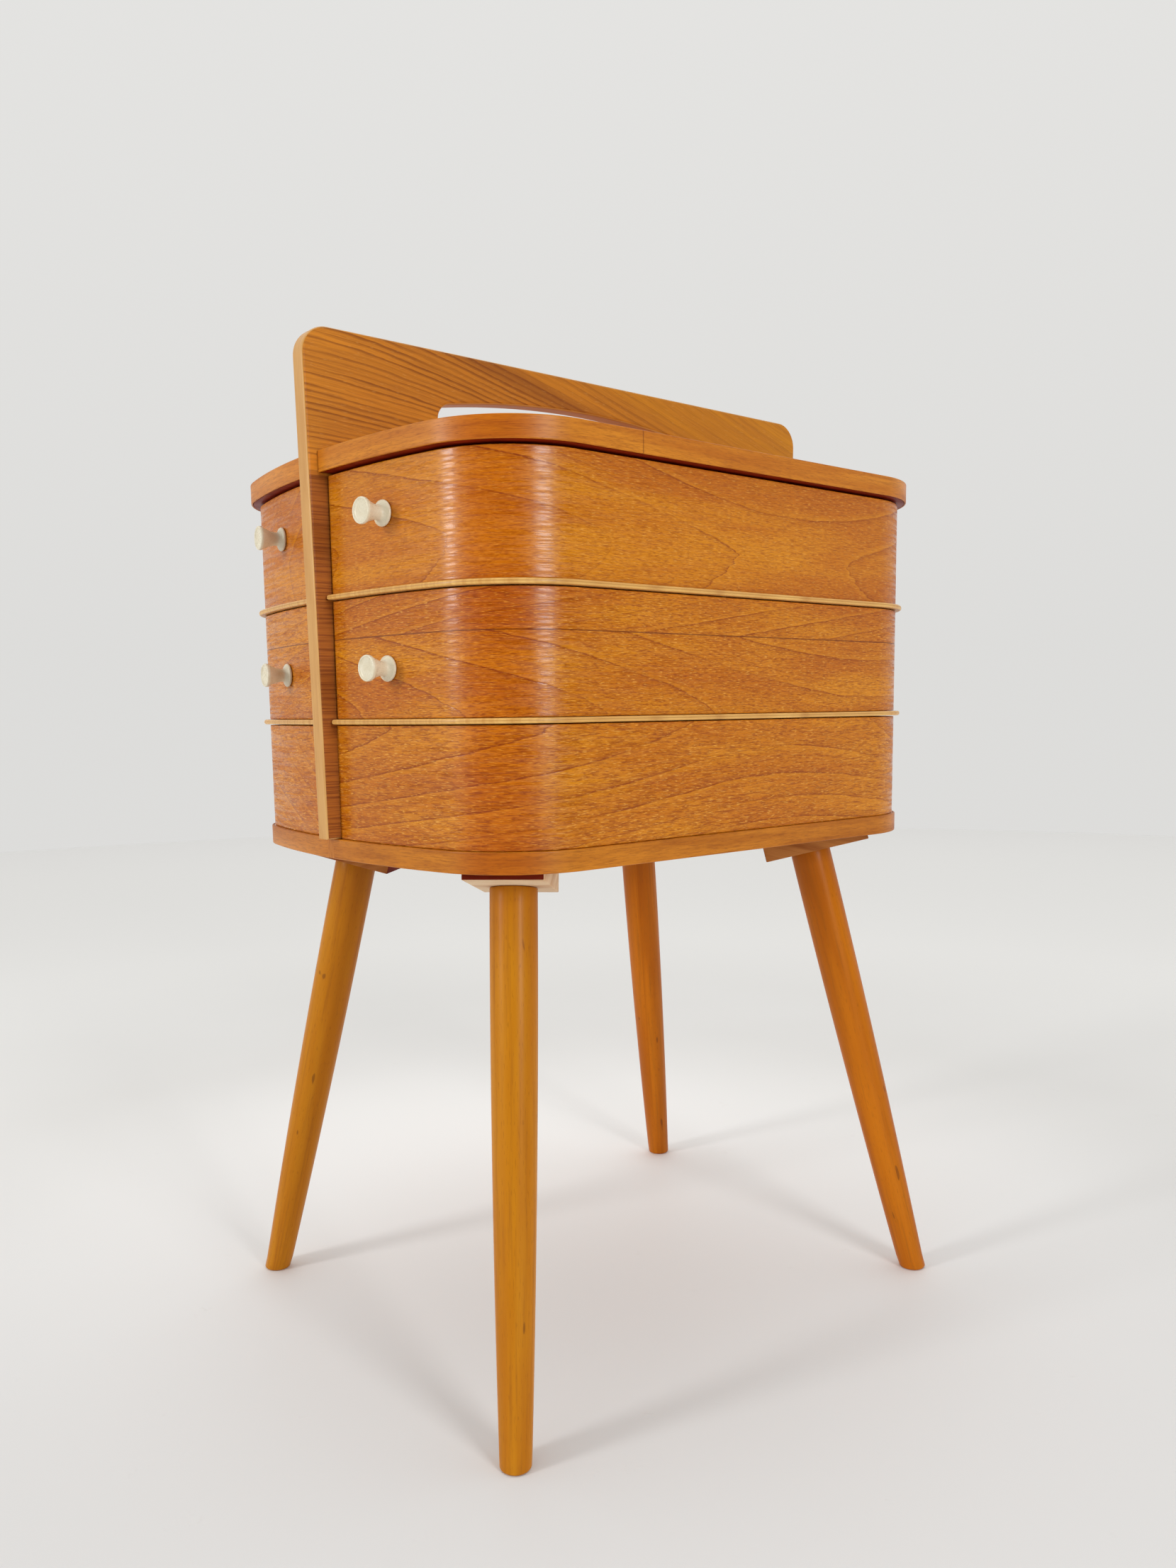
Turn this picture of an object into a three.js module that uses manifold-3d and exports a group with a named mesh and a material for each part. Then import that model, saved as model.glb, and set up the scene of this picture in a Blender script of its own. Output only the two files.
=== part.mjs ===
// Sewing cabinet on four splayed legs: a tall middle panel with a hand slot stands on a base board,
// and on each side of it two drawer-like trays swing out under a fixed lid, above a fixed compartment.
// Units are millimetres. +X runs along the panel, the knobs are at the -X end, -Y is the front, +Z is up,
// and the origin is on the floor under the middle of the panel.
import * as THREE from "three";
import { mergeVertices } from "three/addons/utils/BufferGeometryUtils.js";
import Module from "manifold-3d";

const wasm = await Module();
wasm.setup();

// Boards and gaps
const BOARD = 16; // thickness of the base, the lids and the middle panel
const PLYWOOD = 4; // tray bottoms
const BENT_WALL = 6; // bent outer walls
const INNER_WALL = 8; // straight walls along the panel
const EDGING = 1.5; // veneer band round the boards
const GLUE_GAP = 0.3; // between pieces that are fixed to each other
const RUN_GAP = 0.8; // under a tray that swings
const LID_GAP = 2; // over the upper trays
const PANEL_GAP = 2; // between the trays and the panel

// Plan outline of the lids: straight long sides, slightly bowed short sides, rounded corners
const HALF_LENGTH = 267.5;
const HALF_DEPTH = 202.5;
const END_BOW_RADIUS = 629;
const CORNER_RADIUS = 85;
const WALL_INSET = 7.5;
const PLYWOOD_INSET = 2.3;
const BASE_INSET = 4.9;

// Heights above the floor
const BASE_BOTTOM = 427;
const BASE_TOP = BASE_BOTTOM + BOARD;
const TIER_HEIGHT = 94; // from one plywood bottom to the next
const MIDDLE_BOTTOM = 532;
const UPPER_BOTTOM = MIDDLE_BOTTOM + TIER_HEIGHT;
const LID_BOTTOM = 720;
const LID_TOP = LID_BOTTOM + BOARD;
const PANEL_TOP = 827;

// Middle panel
const PANEL_FACE = BOARD / 2;
const PANEL_HALF_FOOT = 271.5;
const PANEL_HALF_TOP = 276.5;
const PANEL_CORNER_RADIUS = 22;
const SLOT_HALF_LENGTH = 158;
const SLOT_FLOOR = 760;
const SLOT_CROWN = 799.5;
const SLOT_ARCH_RADIUS = 850;
const SLOT_CORNER_RADIUS = 13;

// Fastenings of the panel: dowels into the lids, screws up through the base
const DOWEL_X = [-190, 190];
const DOWEL_RADIUS = 5;
const DOWEL_LENGTH = 60;
const PANEL_SCREW_X = [-150, 150];
const PANEL_SCREW_RADIUS = 2;
const PANEL_SCREW_HEAD_RADIUS = 3.9;
const PANEL_SCREW_HEAD_DEPTH = 2.4;
const PANEL_SCREW_SINK = 0.2; // head below the underside of the base
const COUNTERBORE_DEPTH = 3;
const PANEL_SCREW_GRIP = 28; // length of the hole in the panel
const PANEL_SCREW_POINT = 5;
const PANEL_SCREW_END_GAP = 1;

// Pivots of the trays, near the panel's +X end
const PIVOT_TO_PANEL = 22;
const PIVOT_TO_TIP = 21;
const SWING_RADIUS = 21.4; // the trays' pivot corners are rounded to this
const ROD_RADIUS = 3;
const ROD_BORE_RADIUS = 3.4;
const ROD_SOCKET_DEPTH = 8;
const SHIM_GAP = 0.2; // over and under the washers
const PIVOT_BLOCK_LENGTH = 16;
const PIVOT_BLOCK_WIDTH = 23;
const SPACER_RADIUS = 6.5;

// Knobs
const KNOB_OFFSET = 80; // from the panel's middle plane
const KNOB_RADIUS = 9.5;
const KNOB_WAIST_RADIUS = 5.2;
const KNOB_LENGTH = 20.5;
const UPPER_KNOB_HEIGHT = 682;
const MIDDLE_KNOB_HEIGHT = 572.4;
const KNOB_FLANGE = 3.4; // from the wall to the waist
const KNOB_FLARE_START = 6;
const KNOB_FLARE_END = 17;
const KNOB_RIM = 0.7;
const KNOB_DISH = 1.2; // depth of the hollow in the face
const SCREW_RADIUS = 1.6;
const SCREW_HEAD_RADIUS = 3.4;
const SCREW_HEAD_DEPTH = 2.3;
const SCREW_REACH = 11.5; // into the knob
const SCREW_HOLE_DEPTH = 12;

// Legs and their wedge blocks
const FEET_CENTRE = 8.4; // the feet are centred this far behind the panel's middle plane
// Where each leg meets the base, and how many degrees it and its block are turned off the diagonal
const LEGS = [
  { name: "front_left", x: -174.5, y: -117.5, legTurn: 4.4, blockTurn: 0 },
  { name: "front_right", x: 174.5, y: -117.5, legTurn: -7.4, blockTurn: -5.8 },
  { name: "rear_left", x: -170, y: 131.5, legTurn: -10, blockTurn: -5 },
  { name: "rear_right", x: 179, y: 131.5, legTurn: -11, blockTurn: -10.3 },
];
const LEG_SPLAY = THREE.MathUtils.degToRad(14);
const LEG_TOP_RADIUS = 18.4;
const LEG_FOOT_RADIUS = 11.8;
const BLOCK_WIDTH = 60;
const BLOCK_DEPTH = 19.8; // below the base, at the leg
const BLOCK_OUTER_REACH = 54.6; // along the slanted underside, from the leg
const BLOCK_INNER_REACH = 40.6;
const LEG_BOLT_RADIUS = 4;
const LEG_BOLT_IN_LEG = 40;
const LEG_BOLT_IN_BLOCK = 17;
const LEG_BOLT_POINT = 4;

// Divider in the upper trays
const DIVIDER_HEIGHT = 60;

// Cutting tools reach past what they cut by this much
const PAST = 1;

// Facets
const ROD_SIDES = 24;
const HOLE_SIDES = 16;
const DOWEL_SIDES = 20;
const KNOB_SIDES = 20;
const SCREW_SIDES = 12;
const LEG_SIDES = 24;
const LEG_STEPS = 7;

const LOOKS = {
  veneer: new THREE.MeshStandardMaterial({ color: 0xb9712b, roughness: 0.35 }),
  panel: new THREE.MeshStandardMaterial({ color: 0xb87630, roughness: 0.4 }),
  edging: new THREE.MeshStandardMaterial({ color: 0xb06a2a, roughness: 0.4 }),
  plywood: new THREE.MeshStandardMaterial({ color: 0xd09a55, roughness: 0.5 }),
  leg: new THREE.MeshStandardMaterial({ color: 0xc98a38, roughness: 0.35 }),
  block: new THREE.MeshStandardMaterial({ color: 0xb0683a, roughness: 0.6 }),
  knob: new THREE.MeshStandardMaterial({ color: 0xefe6cd, roughness: 0.25 }),
  steel: new THREE.MeshStandardMaterial({ color: 0xb8b8ba, roughness: 0.3, metalness: 1 }),
};

const root = new THREE.Group();
const cabinet = new THREE.Group();
cabinet.position.y = -FEET_CENTRE;
root.add(cabinet);

// ---- helpers ----

function solid(geometry) {
  const bare = geometry.clone();
  bare.deleteAttribute("normal");
  bare.deleteAttribute("uv");
  const merged = mergeVertices(bare, 1e-4);
  return new wasm.Manifold(
    new wasm.Mesh({
      numProp: 3,
      vertProperties: merged.attributes.position.array,
      triVerts: new Uint32Array(merged.index.array),
    }),
  );
}

function geometryOf(made) {
  const mesh = made.getMesh();
  const geometry = new THREE.BufferGeometry();
  geometry.setAttribute("position", new THREE.BufferAttribute(mesh.vertProperties, 3));
  geometry.setIndex(new THREE.BufferAttribute(mesh.triVerts, 1));
  return geometry;
}

function add(name, look, geometry, parent = cabinet) {
  const mesh = new THREE.Mesh(geometry, LOOKS[look].clone());
  mesh.name = name;
  parent.add(mesh);
  return mesh;
}

function arc(cx, cy, radius, from, to, steps) {
  return Array.from({ length: steps + 1 }, (_, i) => {
    const angle = from + ((to - from) * i) / steps;
    return new THREE.Vector2(cx + radius * Math.cos(angle), cy + radius * Math.sin(angle));
  });
}

function plate(points, bottom, top) {
  const geometry = new THREE.ExtrudeGeometry(new THREE.Shape(points), {
    depth: top - bottom,
    bevelEnabled: false,
  });
  return geometry.translate(0, 0, bottom);
}

function box(x0, x1, y0, y1, z0, z1) {
  const geometry = new THREE.BoxGeometry(x1 - x0, y1 - y0, z1 - z0);
  return geometry.translate((x0 + x1) / 2, (y0 + y1) / 2, (z0 + z1) / 2);
}

function upright(x, y, radius, bottom, top, sides = ROD_SIDES) {
  const geometry = new THREE.CylinderGeometry(radius, radius, top - bottom, sides);
  return geometry.rotateX(Math.PI / 2).translate(x, y, (bottom + top) / 2);
}

// A turned piece along +Y from [radius, distance along] pairs.
function turned(profile, sides) {
  const points = profile.map(([radius, along]) => new THREE.Vector2(radius, along));
  return new THREE.LatheGeometry(points, sides);
}

function minus(geometry, ...cutters) {
  const made = cutters.reduce((rest, cutter) => rest.subtract(solid(cutter)), solid(geometry));
  return geometryOf(made);
}

// ---- plan outlines ----

const BOW_CENTRE = END_BOW_RADIUS - HALF_LENGTH;
const FILLET_Y = HALF_DEPTH - CORNER_RADIUS;
const FILLET_X = Math.sqrt((END_BOW_RADIUS - CORNER_RADIUS) ** 2 - FILLET_Y ** 2) - BOW_CENTRE;
const FILLET_START = Math.asin(FILLET_Y / (END_BOW_RADIUS - CORNER_RADIUS));

// The outer edge of one half, from the panel at the -X end round to the panel at the +X end.
function outerEdge(inset, fromPanel) {
  const bow = END_BOW_RADIUS - inset;
  const start = Math.asin(fromPanel / bow);
  const quarter = [
    ...arc(BOW_CENTRE, 0, bow, Math.PI + start, Math.PI + FILLET_START, 5).slice(0, -1),
    ...arc(-FILLET_X, -FILLET_Y, CORNER_RADIUS - inset, Math.PI + FILLET_START, 1.5 * Math.PI, 14),
  ];
  const mirrored = quarter.map((p) => new THREE.Vector2(-p.x, p.y)).reverse();
  return [...quarter, ...mirrored];
}

function onSide(points, side) {
  return points.map((p) => new THREE.Vector2(p.x, p.y * -side));
}

// A strip between two insets of the outer edge, such as a bent wall or an edging.
function band(outerInset, thickness, fromPanel, side) {
  const outer = outerEdge(outerInset, fromPanel);
  const inner = outerEdge(outerInset + thickness, fromPanel).reverse();
  return onSide([...outer, ...inner], side);
}

function endFaceX(inset, y) {
  return Math.sqrt((END_BOW_RADIUS - inset) ** 2 - y * y) - BOW_CENTRE;
}

// ---- pivots ----

const TRAY_FACE = PANEL_FACE + PANEL_GAP;
const PIVOT_X = HALF_LENGTH - PLYWOOD_INSET - PIVOT_TO_TIP;
const PIVOT_Y = PANEL_FACE + PIVOT_TO_PANEL;

// What has to go from a tray's pivot corner so that it turns past the panel.
function swingRelief(side, bottom, top) {
  const far = 3 * SWING_RADIUS;
  const curve = arc(0, 0, SWING_RADIUS, 0, Math.PI / 2, 10);
  const corner = [new THREE.Vector2(0, far), new THREE.Vector2(far, far), new THREE.Vector2(far, 0)];
  const points = [...curve, ...corner];
  const placed = points.map((p) => new THREE.Vector2(PIVOT_X + p.x, side * (PIVOT_Y - p.y)));
  return plate(placed, bottom - PAST, top + PAST);
}

// ---- fixed structure ----

function addBase() {
  const full = (inset) => {
    const front = outerEdge(inset, 0);
    const rear = front.map((p) => new THREE.Vector2(p.x, -p.y)).reverse();
    return [...front, ...rear.slice(1, -1)];
  };
  const boardInset = BASE_INSET + EDGING + GLUE_GAP;
  const low = BASE_BOTTOM - PAST;
  const high = BASE_TOP + PAST;
  const sockets = [-1, 1].map((side) =>
    upright(PIVOT_X, side * PIVOT_Y, ROD_RADIUS + GLUE_GAP, BASE_TOP - ROD_SOCKET_DEPTH, high),
  );
  const headRadius = PANEL_SCREW_HEAD_RADIUS + GLUE_GAP;
  const screwHoles = PANEL_SCREW_X.flatMap((x) => [
    upright(x, 0, PANEL_SCREW_RADIUS + GLUE_GAP, low, high, HOLE_SIDES),
    upright(x, 0, headRadius, low, BASE_BOTTOM + COUNTERBORE_DEPTH, HOLE_SIDES),
  ]);
  const board = plate(full(boardInset), BASE_BOTTOM, BASE_TOP);
  add("base_board", "veneer", minus(board, ...sockets, ...screwHoles));
  const ring = plate(full(BASE_INSET), BASE_BOTTOM, BASE_TOP);
  const middle = plate(full(BASE_INSET + EDGING), low, high);
  add("base_edging", "edging", minus(ring, middle));
}

function handSlot() {
  const archZ = SLOT_CROWN - SLOT_ARCH_RADIUS;
  const r = SLOT_CORNER_RADIUS;
  const cornerX = SLOT_HALF_LENGTH - r;
  const cornerZ = archZ + Math.sqrt((SLOT_ARCH_RADIUS - r) ** 2 - cornerX ** 2);
  const lean = Math.asin(cornerX / (SLOT_ARCH_RADIUS - r));
  const right = [
    ...arc(cornerX, SLOT_FLOOR + r, r, -Math.PI / 2, 0, 6),
    ...arc(cornerX, cornerZ, r, 0, Math.PI / 2 - lean, 6),
    ...arc(0, archZ, SLOT_ARCH_RADIUS, Math.PI / 2 - lean, Math.PI / 2, 8).slice(1),
  ];
  const left = right.slice(0, -1).map((p) => new THREE.Vector2(-p.x, p.y)).reverse();
  return [...right, ...left];
}

function addPanel() {
  const foot = BASE_TOP + GLUE_GAP;
  const taper = Math.atan((PANEL_HALF_TOP - PANEL_HALF_FOOT) / (PANEL_TOP - foot));
  const r = PANEL_CORNER_RADIUS;
  const corner = arc(PANEL_HALF_TOP - r, PANEL_TOP - r, r, -taper, Math.PI / 2, 10);
  const right = [new THREE.Vector2(PANEL_HALF_FOOT, foot), ...corner];
  const left = right.map((p) => new THREE.Vector2(-p.x, p.y)).reverse();
  const shape = new THREE.Shape([...right, ...left]);
  shape.holes.push(new THREE.Path(handSlot()));
  const board = new THREE.ExtrudeGeometry(shape, { depth: BOARD, bevelEnabled: false });
  board.rotateX(Math.PI / 2).translate(0, PANEL_FACE, 0);
  const dowelHoles = DOWEL_X.map((x) => dowel(x, DOWEL_RADIUS + GLUE_GAP, BOARD + 2 * PAST));
  const pilotTop = foot + PANEL_SCREW_GRIP;
  const pilots = PANEL_SCREW_X.map((x) =>
    upright(x, 0, PANEL_SCREW_RADIUS + GLUE_GAP, foot - PAST, pilotTop, HOLE_SIDES),
  );
  add("center_panel", "panel", minus(board, ...dowelHoles, ...pilots));
}

function dowel(x, radius, length) {
  const peg = new THREE.CylinderGeometry(radius, radius, length, DOWEL_SIDES);
  return peg.translate(x, 0, LID_BOTTOM + BOARD / 2);
}

function addPanelScrews() {
  const length = BOARD + PANEL_SCREW_GRIP - PANEL_SCREW_END_GAP;
  const profile = [
    [0, 0],
    [PANEL_SCREW_HEAD_RADIUS, 0],
    [PANEL_SCREW_RADIUS, PANEL_SCREW_HEAD_DEPTH],
    [PANEL_SCREW_RADIUS, length - PANEL_SCREW_POINT],
    [0, length],
  ];
  PANEL_SCREW_X.forEach((x, i) => {
    const screw = turned(profile, HOLE_SIDES).rotateX(Math.PI / 2);
    add(`panel_screw_${i + 1}`, "steel", screw.translate(x, 0, BASE_BOTTOM + PANEL_SCREW_SINK));
  });
}

function addLidDowels() {
  DOWEL_X.forEach((x, i) => {
    add(`lid_dowel_${i + 1}`, "leg", dowel(x, DOWEL_RADIUS, DOWEL_LENGTH));
  });
}

function addLid(end, side) {
  const fromPanel = PANEL_FACE + GLUE_GAP;
  const outline = onSide(outerEdge(EDGING + GLUE_GAP, fromPanel), side);
  const rodSocket = upright(
    PIVOT_X,
    side * PIVOT_Y,
    ROD_RADIUS + GLUE_GAP,
    LID_BOTTOM - PAST,
    LID_BOTTOM + ROD_SOCKET_DEPTH,
  );
  const dowelHoles = DOWEL_X.map((x) => dowel(x, DOWEL_RADIUS + GLUE_GAP, DOWEL_LENGTH + 2 * PAST));
  const board = minus(plate(outline, LID_BOTTOM, LID_TOP), rodSocket, ...dowelHoles);
  add(`${end}_lid`, "veneer", board);
  add(`${end}_lid_edging`, "edging", plate(band(0, EDGING, fromPanel, side), LID_BOTTOM, LID_TOP));
}

function addBottomCompartment(end, side) {
  const bottom = BASE_TOP + GLUE_GAP;
  const top = MIDDLE_BOTTOM - RUN_GAP;
  const fromPanel = PANEL_FACE + GLUE_GAP;
  add(`${end}_bottom_wall`, "veneer", plate(band(WALL_INSET, BENT_WALL, fromPanel, side), bottom, top));
  add(`${end}_bottom_inner_wall`, "plywood", innerWall(side, fromPanel, bottom, top));
  const tube = upright(PIVOT_X, side * PIVOT_Y, SPACER_RADIUS, bottom, top + RUN_GAP / 2);
  const bore = upright(PIVOT_X, side * PIVOT_Y, ROD_BORE_RADIUS, bottom - PAST, top + PAST);
  add(`${end}_spacer_tube`, "steel", minus(tube, bore));
}

function innerWall(side, fromPanel, bottom, top) {
  const reach = endFaceX(WALL_INSET + BENT_WALL, fromPanel + INNER_WALL) - GLUE_GAP;
  const near = side * fromPanel;
  const far = side * (fromPanel + INNER_WALL);
  return box(-reach, reach, Math.min(near, far), Math.max(near, far), bottom, top);
}

function addRod(end, side) {
  const bottom = BASE_TOP - ROD_SOCKET_DEPTH + GLUE_GAP;
  const top = LID_BOTTOM + ROD_SOCKET_DEPTH - GLUE_GAP;
  add(`${end}_pivot_rod`, "steel", upright(PIVOT_X, side * PIVOT_Y, ROD_RADIUS, bottom, top));
  const rest = UPPER_BOTTOM - RUN_GAP + SHIM_GAP;
  const washer = upright(PIVOT_X, side * PIVOT_Y, SPACER_RADIUS, rest, UPPER_BOTTOM - SHIM_GAP);
  const bore = upright(PIVOT_X, side * PIVOT_Y, ROD_BORE_RADIUS, rest - PAST, UPPER_BOTTOM + PAST);
  add(`${end}_washer`, "steel", minus(washer, bore));
}

// ---- trays ----

function knobProfile() {
  const steps = 4;
  const flare = Array.from({ length: steps + 1 }, (_, i) => {
    const share = i / steps;
    const radius = KNOB_WAIST_RADIUS + (KNOB_RADIUS - 0.4 - KNOB_WAIST_RADIUS) * share ** 1.6;
    return [radius, KNOB_FLARE_START + (KNOB_FLARE_END - KNOB_FLARE_START) * share];
  });
  return [
    [0, 0],
    [KNOB_RADIUS - 0.5, 0],
    [KNOB_RADIUS, 1],
    [KNOB_RADIUS - 1, 2.2],
    [KNOB_WAIST_RADIUS + 1.2, KNOB_FLANGE],
    ...flare,
    [KNOB_RADIUS, KNOB_FLARE_END + 1],
    [KNOB_RADIUS, KNOB_LENGTH - KNOB_RIM],
    [KNOB_RADIUS - KNOB_RIM, KNOB_LENGTH],
    [KNOB_RADIUS - 2 * KNOB_RIM, KNOB_LENGTH - KNOB_RIM],
    [0, KNOB_LENGTH - KNOB_DISH],
  ];
}

// A group whose Y axis points out of the tray's -X end face at the knob.
function knobFrame(side, height) {
  const frame = new THREE.Group();
  const tilt = Math.asin(KNOB_OFFSET / (END_BOW_RADIUS - WALL_INSET));
  frame.position.set(-endFaceX(WALL_INSET, KNOB_OFFSET), side * KNOB_OFFSET, height);
  const outward = new THREE.Vector3(-Math.cos(tilt), side * Math.sin(tilt), 0);
  frame.quaternion.setFromUnitVectors(new THREE.Vector3(0, 1, 0), outward);
  return frame;
}

function knobScrewHole(from, to) {
  const radius = SCREW_RADIUS + GLUE_GAP;
  const hole = new THREE.CylinderGeometry(radius, radius, to - from, SCREW_SIDES);
  return hole.translate(0, (from + to) / 2, 0);
}

function addKnob(name, side, height) {
  const frame = knobFrame(side, height);
  cabinet.add(frame);
  const body = turned(knobProfile(), KNOB_SIDES).translate(0, GLUE_GAP, 0);
  add(`${name}_knob`, "knob", minus(body, knobScrewHole(-PAST, SCREW_HOLE_DEPTH)), frame);
  const headFace = -BENT_WALL - GLUE_GAP;
  const profile = [
    [0, headFace - SCREW_HEAD_DEPTH],
    [SCREW_HEAD_RADIUS - 0.4, headFace - 1.9],
    [SCREW_HEAD_RADIUS, headFace],
    [SCREW_RADIUS, headFace],
    [SCREW_RADIUS, SCREW_REACH - 1],
    [0, SCREW_REACH],
  ];
  add(`${name}_knob_screw`, "steel", turned(profile, HOLE_SIDES), frame);
}

function wallScrewHole(side, height) {
  const frame = knobFrame(side, height);
  frame.updateMatrix();
  return knobScrewHole(-4 * BENT_WALL, 2 * BENT_WALL).applyMatrix4(frame.matrix);
}

function addTray(name, side, bottom, top, knobHeight) {
  const floor = bottom + PLYWOOD;
  const wallBottom = floor + GLUE_GAP;
  const relief = swingRelief(side, bottom, top);
  const bore = upright(PIVOT_X, side * PIVOT_Y, ROD_BORE_RADIUS, bottom - PAST, top + PAST);
  const sheet = plate(onSide(outerEdge(PLYWOOD_INSET, TRAY_FACE), side), bottom, floor);
  add(`${name}_bottom`, "plywood", minus(sheet, relief, bore));
  const wall = plate(band(WALL_INSET, BENT_WALL, TRAY_FACE, side), wallBottom, top);
  add(`${name}_wall`, "veneer", minus(wall, relief, wallScrewHole(side, knobHeight)));
  add(`${name}_inner_wall`, "plywood", minus(innerWall(side, TRAY_FACE, wallBottom, top), relief));
  const blockNear = side * (TRAY_FACE + INNER_WALL + GLUE_GAP);
  const blockFar = blockNear + side * PIVOT_BLOCK_WIDTH;
  const block = box(
    PIVOT_X - PIVOT_BLOCK_LENGTH / 2,
    PIVOT_X + PIVOT_BLOCK_LENGTH / 2,
    Math.min(blockNear, blockFar),
    Math.max(blockNear, blockFar),
    wallBottom,
    top,
  );
  add(`${name}_pivot_block`, "leg", minus(block, bore));
  addKnob(name, side, knobHeight);
}

function addDivider(name, side, bottom) {
  const near = side * (TRAY_FACE + INNER_WALL + GLUE_GAP);
  const far = side * (HALF_DEPTH - WALL_INSET - BENT_WALL - GLUE_GAP);
  const low = bottom + PLYWOOD + GLUE_GAP;
  const y0 = Math.min(near, far);
  const y1 = Math.max(near, far);
  add(`${name}_divider`, "plywood", box(-PLYWOOD / 2, PLYWOOD / 2, y0, y1, low, low + DIVIDER_HEIGHT));
}

// ---- legs ----

function alongLeg(geometry) {
  return geometry
    .rotateX(-Math.PI / 2)
    .rotateY(-LEG_SPLAY)
    .translate(0, 0, -BLOCK_DEPTH);
}

function legBoltHole() {
  const radius = LEG_BOLT_RADIUS + GLUE_GAP;
  const length = LEG_BOLT_IN_LEG + PAST;
  return alongLeg(new THREE.CylinderGeometry(radius, radius, 2 * length, HOLE_SIDES));
}

// What a leg may not reach into, seen from a leg that is turned by lead against its block.
function aboveBlockUnderside(lead) {
  const reach = BASE_BOTTOM;
  return box(-reach, reach, -reach, reach, -GLUE_GAP, reach)
    .rotateY(-LEG_SPLAY)
    .translate(0, 0, -BLOCK_DEPTH)
    .rotateZ(-lead);
}

// The leg runs on past the block and the floor, and is cut along both.
function legGeometry(lead) {
  const length = (BASE_BOTTOM - BLOCK_DEPTH) / Math.cos(LEG_SPLAY);
  const overrun = LEG_FOOT_RADIUS;
  const taper = LEG_TOP_RADIUS - LEG_FOOT_RADIUS;
  const side = Array.from({ length: LEG_STEPS + 1 }, (_, i) => {
    const along = -overrun + ((length + 2 * overrun) * i) / LEG_STEPS;
    return [LEG_TOP_RADIUS - taper * (along / length) ** 2, along];
  });
  const profile = [[0, -overrun], ...side, [0, length + overrun]];
  const leg = alongLeg(turned(profile, LEG_SIDES));
  const reach = BASE_BOTTOM;
  const ground = box(-reach, reach, -reach, reach, -BASE_BOTTOM - 5 * overrun, -BASE_BOTTOM);
  return minus(leg, ground, aboveBlockUnderside(lead), legBoltHole());
}

// Both ends of the block are square to its slanted underside.
function blockGeometry(lead) {
  const lean = new THREE.Vector2(-Math.sin(LEG_SPLAY), Math.cos(LEG_SPLAY));
  const bottom = [-BLOCK_INNER_REACH, BLOCK_OUTER_REACH].map(
    (reach) => new THREE.Vector2(reach * lean.y, -reach * lean.x - BLOCK_DEPTH),
  );
  const top = bottom.map((p) => p.clone().addScaledVector(lean, (-GLUE_GAP - p.y) / lean.y));
  const outline = [...bottom, ...top.reverse()];
  const wedge = new THREE.ExtrudeGeometry(new THREE.Shape(outline), {
    depth: BLOCK_WIDTH,
    bevelEnabled: false,
  });
  wedge.rotateX(Math.PI / 2).translate(0, BLOCK_WIDTH / 2, 0);
  return minus(wedge, legBoltHole().rotateZ(lead));
}

// A threaded stud along the leg's axis, screwed into the block and into the leg.
function boltGeometry() {
  const profile = [
    [0, -LEG_BOLT_IN_BLOCK],
    [LEG_BOLT_RADIUS, -LEG_BOLT_IN_BLOCK],
    [LEG_BOLT_RADIUS, LEG_BOLT_IN_LEG - LEG_BOLT_POINT],
    [0, LEG_BOLT_IN_LEG],
  ];
  return alongLeg(turned(profile, HOLE_SIDES));
}

function cornerFrame(x, y, degrees) {
  const corner = new THREE.Group();
  corner.position.set(x, y, BASE_BOTTOM);
  corner.rotation.z = Math.atan2(Math.sign(y), Math.sign(x)) + THREE.MathUtils.degToRad(degrees);
  cabinet.add(corner);
  return corner;
}

function addLeg({ name, x, y, legTurn, blockTurn }) {
  const lead = THREE.MathUtils.degToRad(legTurn - blockTurn);
  const legFrame = cornerFrame(x, y, legTurn);
  add(`${name}_leg_block`, "block", blockGeometry(lead), cornerFrame(x, y, blockTurn));
  add(`${name}_leg`, "leg", legGeometry(lead), legFrame);
  add(`${name}_leg_bolt`, "steel", boltGeometry(), legFrame);
}

// ---- assembly ----

addBase();
addPanel();
addPanelScrews();
addLidDowels();
LEGS.forEach(addLeg);
for (const [end, side] of [["front", -1], ["rear", 1]]) {
  addLid(end, side);
  addBottomCompartment(end, side);
  addRod(end, side);
  addTray(`${end}_middle`, side, MIDDLE_BOTTOM, UPPER_BOTTOM - RUN_GAP, MIDDLE_KNOB_HEIGHT);
  addTray(`${end}_upper`, side, UPPER_BOTTOM, LID_BOTTOM - LID_GAP, UPPER_KNOB_HEIGHT);
  addDivider(`${end}_upper`, side, UPPER_BOTTOM);
}

export default root;
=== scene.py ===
import math

import bpy
import bmesh
import numpy as np
from mathutils import Matrix, Vector
from mathutils.geometry import tessellate_polygon


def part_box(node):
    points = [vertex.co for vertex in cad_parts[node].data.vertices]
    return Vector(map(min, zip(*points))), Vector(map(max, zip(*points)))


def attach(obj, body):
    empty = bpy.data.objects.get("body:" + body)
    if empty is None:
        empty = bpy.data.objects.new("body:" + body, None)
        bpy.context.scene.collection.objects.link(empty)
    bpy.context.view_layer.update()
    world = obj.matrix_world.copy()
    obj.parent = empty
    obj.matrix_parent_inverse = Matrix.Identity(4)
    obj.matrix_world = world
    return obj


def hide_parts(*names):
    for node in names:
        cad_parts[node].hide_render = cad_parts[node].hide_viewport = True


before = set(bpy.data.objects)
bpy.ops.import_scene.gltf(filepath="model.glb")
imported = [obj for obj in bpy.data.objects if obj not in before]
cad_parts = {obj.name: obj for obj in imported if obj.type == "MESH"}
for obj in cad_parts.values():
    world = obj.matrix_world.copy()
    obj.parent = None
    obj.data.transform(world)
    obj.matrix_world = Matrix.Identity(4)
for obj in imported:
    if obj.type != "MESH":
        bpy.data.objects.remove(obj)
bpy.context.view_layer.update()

MM = 0.001

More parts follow.
